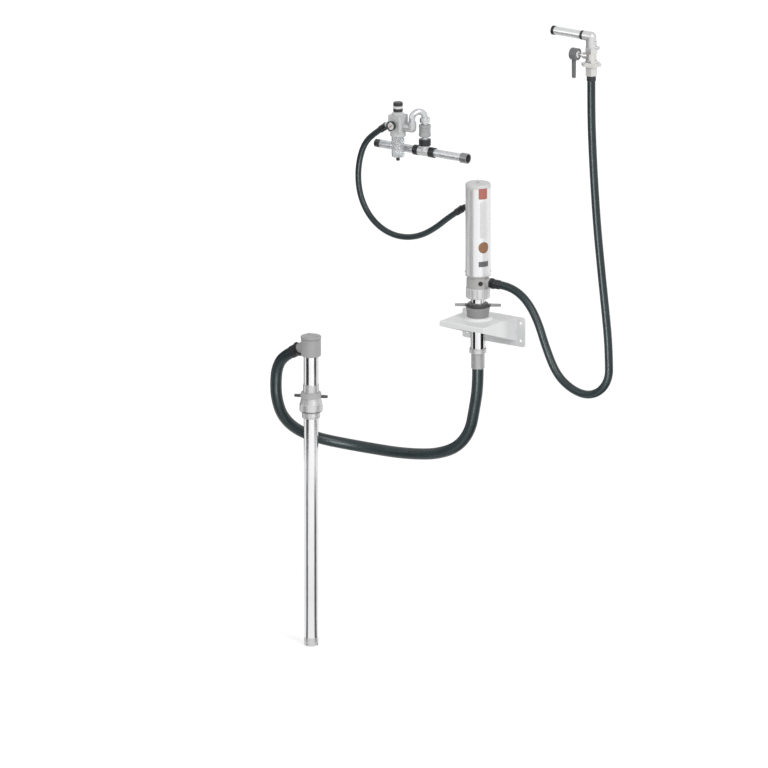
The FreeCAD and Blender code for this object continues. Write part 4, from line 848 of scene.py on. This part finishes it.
def clear(name, colour, through, bend, drift, smoothest, roughest):
    """A clear moulding; through is how much light it lets pass, and bend its IOR."""
    material, tree, shader = new_material(name)
    shader.inputs["Transmission Weight"].default_value = through
    shader.inputs["IOR"].default_value = bend
    tone = place_effect(tree, uneven_tone, {
        "Colour": (*colour, 1), "Scale": drift[0], "Spread": drift[1]})
    tree.links.new(tone["Colour"], shader.inputs["Base Color"])
    roughen(tree, shader, tone["Cloud"], smoothest, roughest)
    return material


bowl_clear = clear("bowl_clear", (0.86, 0.88, 0.89), through=0.70, bend=1.45,
                   drift=(30.0, 0.03), smoothest=0.10, roughest=0.20)
dress(bowl_clear, "filter_bowl")

# The gauge has a white dial with a plain scale under its lens, and the knob a pale
# band in its groove.  Four socket screws hold the bonnet.
front = Vector((0, -1, 0))
case_low, case_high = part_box("gauge_case")
set_low, set_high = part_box("regulator_knob")
set_axis = (set_low + set_high) / 2
rim_wide = 0.002
dial_radius = (case_high.x - case_low.x) / 2 - rim_wide
dial_deep = 0.005
dial_at = Vector(((case_low.x + case_high.x) / 2, case_low.y + dial_deep,
                  (case_low.z + case_high.z) / 2))
dial_white = finish("dial_white", (0.78, 0.78, 0.77), 0.5, drift=(60.0, 0.03),
                    skin=(1500.0, 0.2), depth=0.00002)
plate_radius, plate_half = dial_radius - 0.0002, 0.0002
dial = bmesh.new()
lathe(dial, dial_at, front, [(0, -plate_half), (plate_radius, -plate_half),
                             (plate_radius, plate_half), (0, plate_half)])
add_piece("gauge_dial", dial, dial_white, "root")
scale = bmesh.new()
tick_count, scale_sweep, scale_margin = 31, 270, 0.0014
tick_lift, tick_thick = 0.00022, 0.00008
main_every, main_tick, small_tick = 5, (0.0026, 0.00035), (0.0014, 0.0002)
for step in range(tick_count):
    turn = math.radians(scale_sweep / 2 - scale_sweep / (tick_count - 1) * step)
    out = Vector((math.sin(turn), 0, math.cos(turn)))
    side = out.cross(front)
    long, wide = small_tick if step % main_every else main_tick
    near = dial_at + front * tick_lift + out * (dial_radius - scale_margin - long)
    foot_face, top_face = ([scale.verts.new(near + out * far + side * across + front * up)
                            for far, across in ((0, -wide), (long, -wide), (long, wide),
                                                (0, wide))] for up in (0, tick_thick))
    scale.faces.new(foot_face)
    scale.faces.new(top_face[::-1])
    for corner in range(4):
        after = (corner + 1) % 4
        scale.faces.new((foot_face[corner], top_face[corner], top_face[after],
                         foot_face[after]))
add_piece("gauge_scale", scale, seal_black, "root", smooth=False)
lens_lift, lens_radius = 0.0032, dial_radius - 0.0001
lens_edge, lens_middle = 0.0008, 0.0010
lens = bmesh.new()
lathe(lens, dial_at + front * lens_lift, front,
      [(0, 0), (lens_radius, 0), (lens_radius, lens_edge), (0, lens_middle)])
lens_clear = clear("lens_clear", (0.96, 0.97, 0.97), through=1.0, bend=1.2,
                   drift=(40.0, 0.02), smoothest=0.0, roughest=0.04)
add_piece("gauge_lens", lens, lens_clear, "root")

set_axis.z = 0
groove_low, groove_high, groove_radius = 0.7132, 0.7218, 0.015
band_inner, band_outer = groove_radius - 0.0004, groove_radius + 0.0005
pale_band = bmesh.new()
lathe(pale_band, set_axis, upright, [
    (band_inner, groove_low), (band_outer, groove_low), (band_outer, groove_high),
    (band_inner, groove_high), (band_inner, groove_low)])
bmesh.ops.remove_doubles(pale_band, verts=pale_band.verts, dist=same_place)
add_piece("knob_band", pale_band, dial_white, "regulator_knob")
bonnet_screws = bmesh.new()
block_top = 0.690
screw_out, screw_sunk = 0.0205, 0.0004
for across, deep in ((-1, -1), (1, -1), (1, 1), (-1, 1)):
    screw_head(bonnet_screws, set_axis + Vector((across * screw_out, deep * screw_out,
                                                 block_top - screw_sunk)),
               upright, radius=0.0026, tall=0.0028)
add_piece("bonnet_screws", bonnet_screws, ground_steel, "root")

# ---------------------------------------------------------------- air pipe

# The level air main is galvanised three-quarter-inch pipe with a tee whose mouths
# are blackened, and a bent riser with a sliding shut-off sleeve feeds the regulator.

# Zinc spangle: the crystal flakes of hot-dip galvanising.
zinc_spangle, taken, given = effect("zinc_spangle", [
    ("Scale", "Float", 120.0)], [("Tone", "Float")])
flakes = add(zinc_spangle, "TexVoronoi", {
    "Vector": add(zinc_spangle, "TexCoord").outputs["Object"], "Scale": taken["Scale"]})
grey = add(zinc_spangle, "SeparateColor", {0: flakes.outputs["Color"]})
zinc_spangle.links.new(grey.outputs[0], given["Tone"])

galvanised, tree, shader = new_material("galvanised")
shader.inputs["Metallic"].default_value = 0.75
spangle = place_effect(tree, zinc_spangle, {"Scale": 160.0})["Tone"]
flake_tone = laid_over(tree, spangle, (0.50, 0.51, 0.53, 1), (0.70, 0.71, 0.72, 1))
flake_cloud = place_effect(tree, uneven_tone, {
    "Colour": flake_tone, "Scale": 10.0, "Spread": 0.08})
cut_thread = ("X", -0.453, -0.431)
pipe_socket = ("X", -0.106, -0.080)
darker = banded(tree, flake_cloud["Colour"], (0.09, 0.09, 0.095), [cut_thread])
darker = banded(tree, darker, (0.26, 0.26, 0.27), [pipe_socket])
tree.links.new(darker, shader.inputs["Base Color"])
roughen(tree, shader, spangle, 0.28, 0.46)
tee_low, tee_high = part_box("air_tee")
tee_band, tee_over = 0.020, 0.001
tee_zinc = finish("tee_zinc", (0.64, 0.645, 0.65), 0.42, metallic=0.4, drift=(26.0, 0.08),
                  skin=(600.0, 0.5), depth=0.0002, rubbed=((0.80, 0.80, 0.80), 0.001, 0.4),
                  bands=((0.030, 0.032, 0.035), [
                      ("X", tee_low.x - tee_over, tee_low.x + tee_band),
                      ("X", tee_high.x - tee_band, tee_high.x + tee_over),
                      ("Z", tee_high.z - tee_band, tee_high.z + tee_over)]))
sleeve_grey = finish("sleeve_grey", (0.40, 0.405, 0.41), 0.42, drift=(24.0, 0.06),
                     skin=(900.0, 0.4), depth=0.0001, rubbed=((0.66, 0.66, 0.66), 0.001, 0.4))
dress(galvanised, "air_pipe", "gooseneck")
dress(tee_zinc, "air_tee")
dress(sleeve_grey, "shutoff_sleeve")
rightward = Vector((1, 0, 0))
pipe_left = Vector((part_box("air_pipe")[0].x, -0.036, 0.570))
thread_inset = 0.0008
pipe_ridges = bmesh.new()
screw_thread(pipe_ridges, pipe_left + rightward * thread_inset, rightward, radius=0.01295,
             pitch=0.0018, length=0.0178, ridge=0.00045)
add_piece("pipe_thread", pipe_ridges, galvanised, "root")

# ---------------------------------------------------------------- delivery valve

# A nickel-plated lever ball valve with a grey lever, under a zinc-plated elbow
# from which the delivery pipe runs on to the left.
nickel = finish("nickel", (0.64, 0.63, 0.61), 0.30, metallic=0.75, drift=(24.0, 0.05),
                lines=(50.0, 50.0, 1300.0), depth=0.00003,
                rubbed=((0.84, 0.82, 0.78), 0.001, 0.4))
lever_grey = finish("lever_grey", (0.16, 0.165, 0.17), 0.42, drift=(24.0, 0.1),
                    skin=(900.0, 0.3), depth=0.0001,
                    rubbed=((0.45, 0.45, 0.45), 0.001, 0.5), dust=0.08)
dress(nickel, "valve_body", "valve_ball")
dress(lever_grey, "valve_lever")
pipe_end, pipe_collar = ("X", 0.297, 0.3082), ("X", 0.4128, 0.4235)
delivery_zinc = finish("delivery_zinc", (0.68, 0.685, 0.69), 0.34, metallic=0.7,
                       drift=(26.0, 0.06), lines=(1300.0, 50.0, 50.0), depth=0.00003,
                       bands=((0.035, 0.036, 0.038), [pipe_end, pipe_collar]))
dress(union_zinc, "delivery_elbow")
dress(delivery_zinc, "delivery_pipe")

# A white plastic cap closes the recess in the lever's hub, and a washer of the same
# plastic lies between the hub and the valve.
hub_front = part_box("valve_lever")[0].x
hub_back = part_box("valve_lever")[1].x
hub_floor = 0.004
stem_line = Vector((0, pump_axis.y, 1.006))
hub_cap = bmesh.new()
lathe(hub_cap, stem_line + rightward * (hub_front + hub_floor), -rightward, [
    (0, 0), (0.0106, 0), (0.0106, 0.0030), (0.0098, 0.0036), (0, 0.0038)], sides=36)
add_piece("lever_cap", hub_cap, dial_white, "valve_handle")
washer_bore, washer_wide, washer_thick, washer_sunk = 0.00515, 0.0115, 0.0024, 0.0003
stem_ring = bmesh.new()
lathe(stem_ring, stem_line + rightward * (hub_back - washer_sunk), rightward, [
    (washer_bore, 0), (washer_wide, 0), (washer_wide, 0.0018), (0.0108, washer_thick),
    (washer_bore, washer_thick), (washer_bore, 0)], sides=36)
bmesh.ops.remove_doubles(stem_ring, verts=stem_ring.verts, dist=same_place)
add_piece("stem_washer", stem_ring, dial_white, "valve_handle")

# ---------------------------------------------------------------- drum lance

# The lance has a grey cast head on a long zinc-plated tube, a slotted foot valve
# at its end, and an adaptor with a wing nut that screws into the drum.
lance_grey = finish("lance_grey", (0.42, 0.42, 0.425), 0.46, drift=(22.0, 0.07),
                    skin=(650.0, 0.5), depth=0.0002,
                    rubbed=((0.66, 0.66, 0.66), 0.0012, 0.45), dust=0.1)
lance_zinc = finish("lance_zinc", (0.74, 0.74, 0.75), 0.16, metallic=1.0, drift=(6.0, 0.04),
                    lines=(900.0, 900.0, 10.0), depth=0.00002, rough_spread=0.04)
dress(lance_grey, "lance_head")
dress(lance_zinc, "lance_tube")
dress(union_zinc, "drum_adaptor", "foot_valve_body")
nut_wings = (lance_axis, 0.036, 0.09)
wing_nut_grey = finish("wing_nut_grey", (0.50, 0.50, 0.50), 0.46, drift=(22.0, 0.07),
                       skin=(700.0, 0.45), depth=0.0002,
                       rubbed=((0.66, 0.66, 0.66), 0.001, 0.45), dust=0.1,
                       bands=((0.06, 0.06, 0.061), [nut_wings]))
dress(wing_nut_grey, "adaptor_wing_nut")
lance_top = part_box("lance_head")[1].z
thread_foot = -0.3085
drum_ridges = bmesh.new()
screw_thread(drum_ridges, lance_axis + upright * thread_foot, upright, radius=0.0295,
             pitch=0.0023, length=0.0195, ridge=0.0006)
add_piece("drum_ridges", drum_ridges, union_zinc, "drum_adaptor")
head_screw_out = 0.024
head_screws = bmesh.new()
for turn in (110, 230, 350):
    screw_head(head_screws, lance_axis + outward(turn) * head_screw_out
               + upright * (lance_top - screw_sunk), upright, radius=0.0042, tall=0.003)
add_piece("head_screws", head_screws, ground_steel, "root")
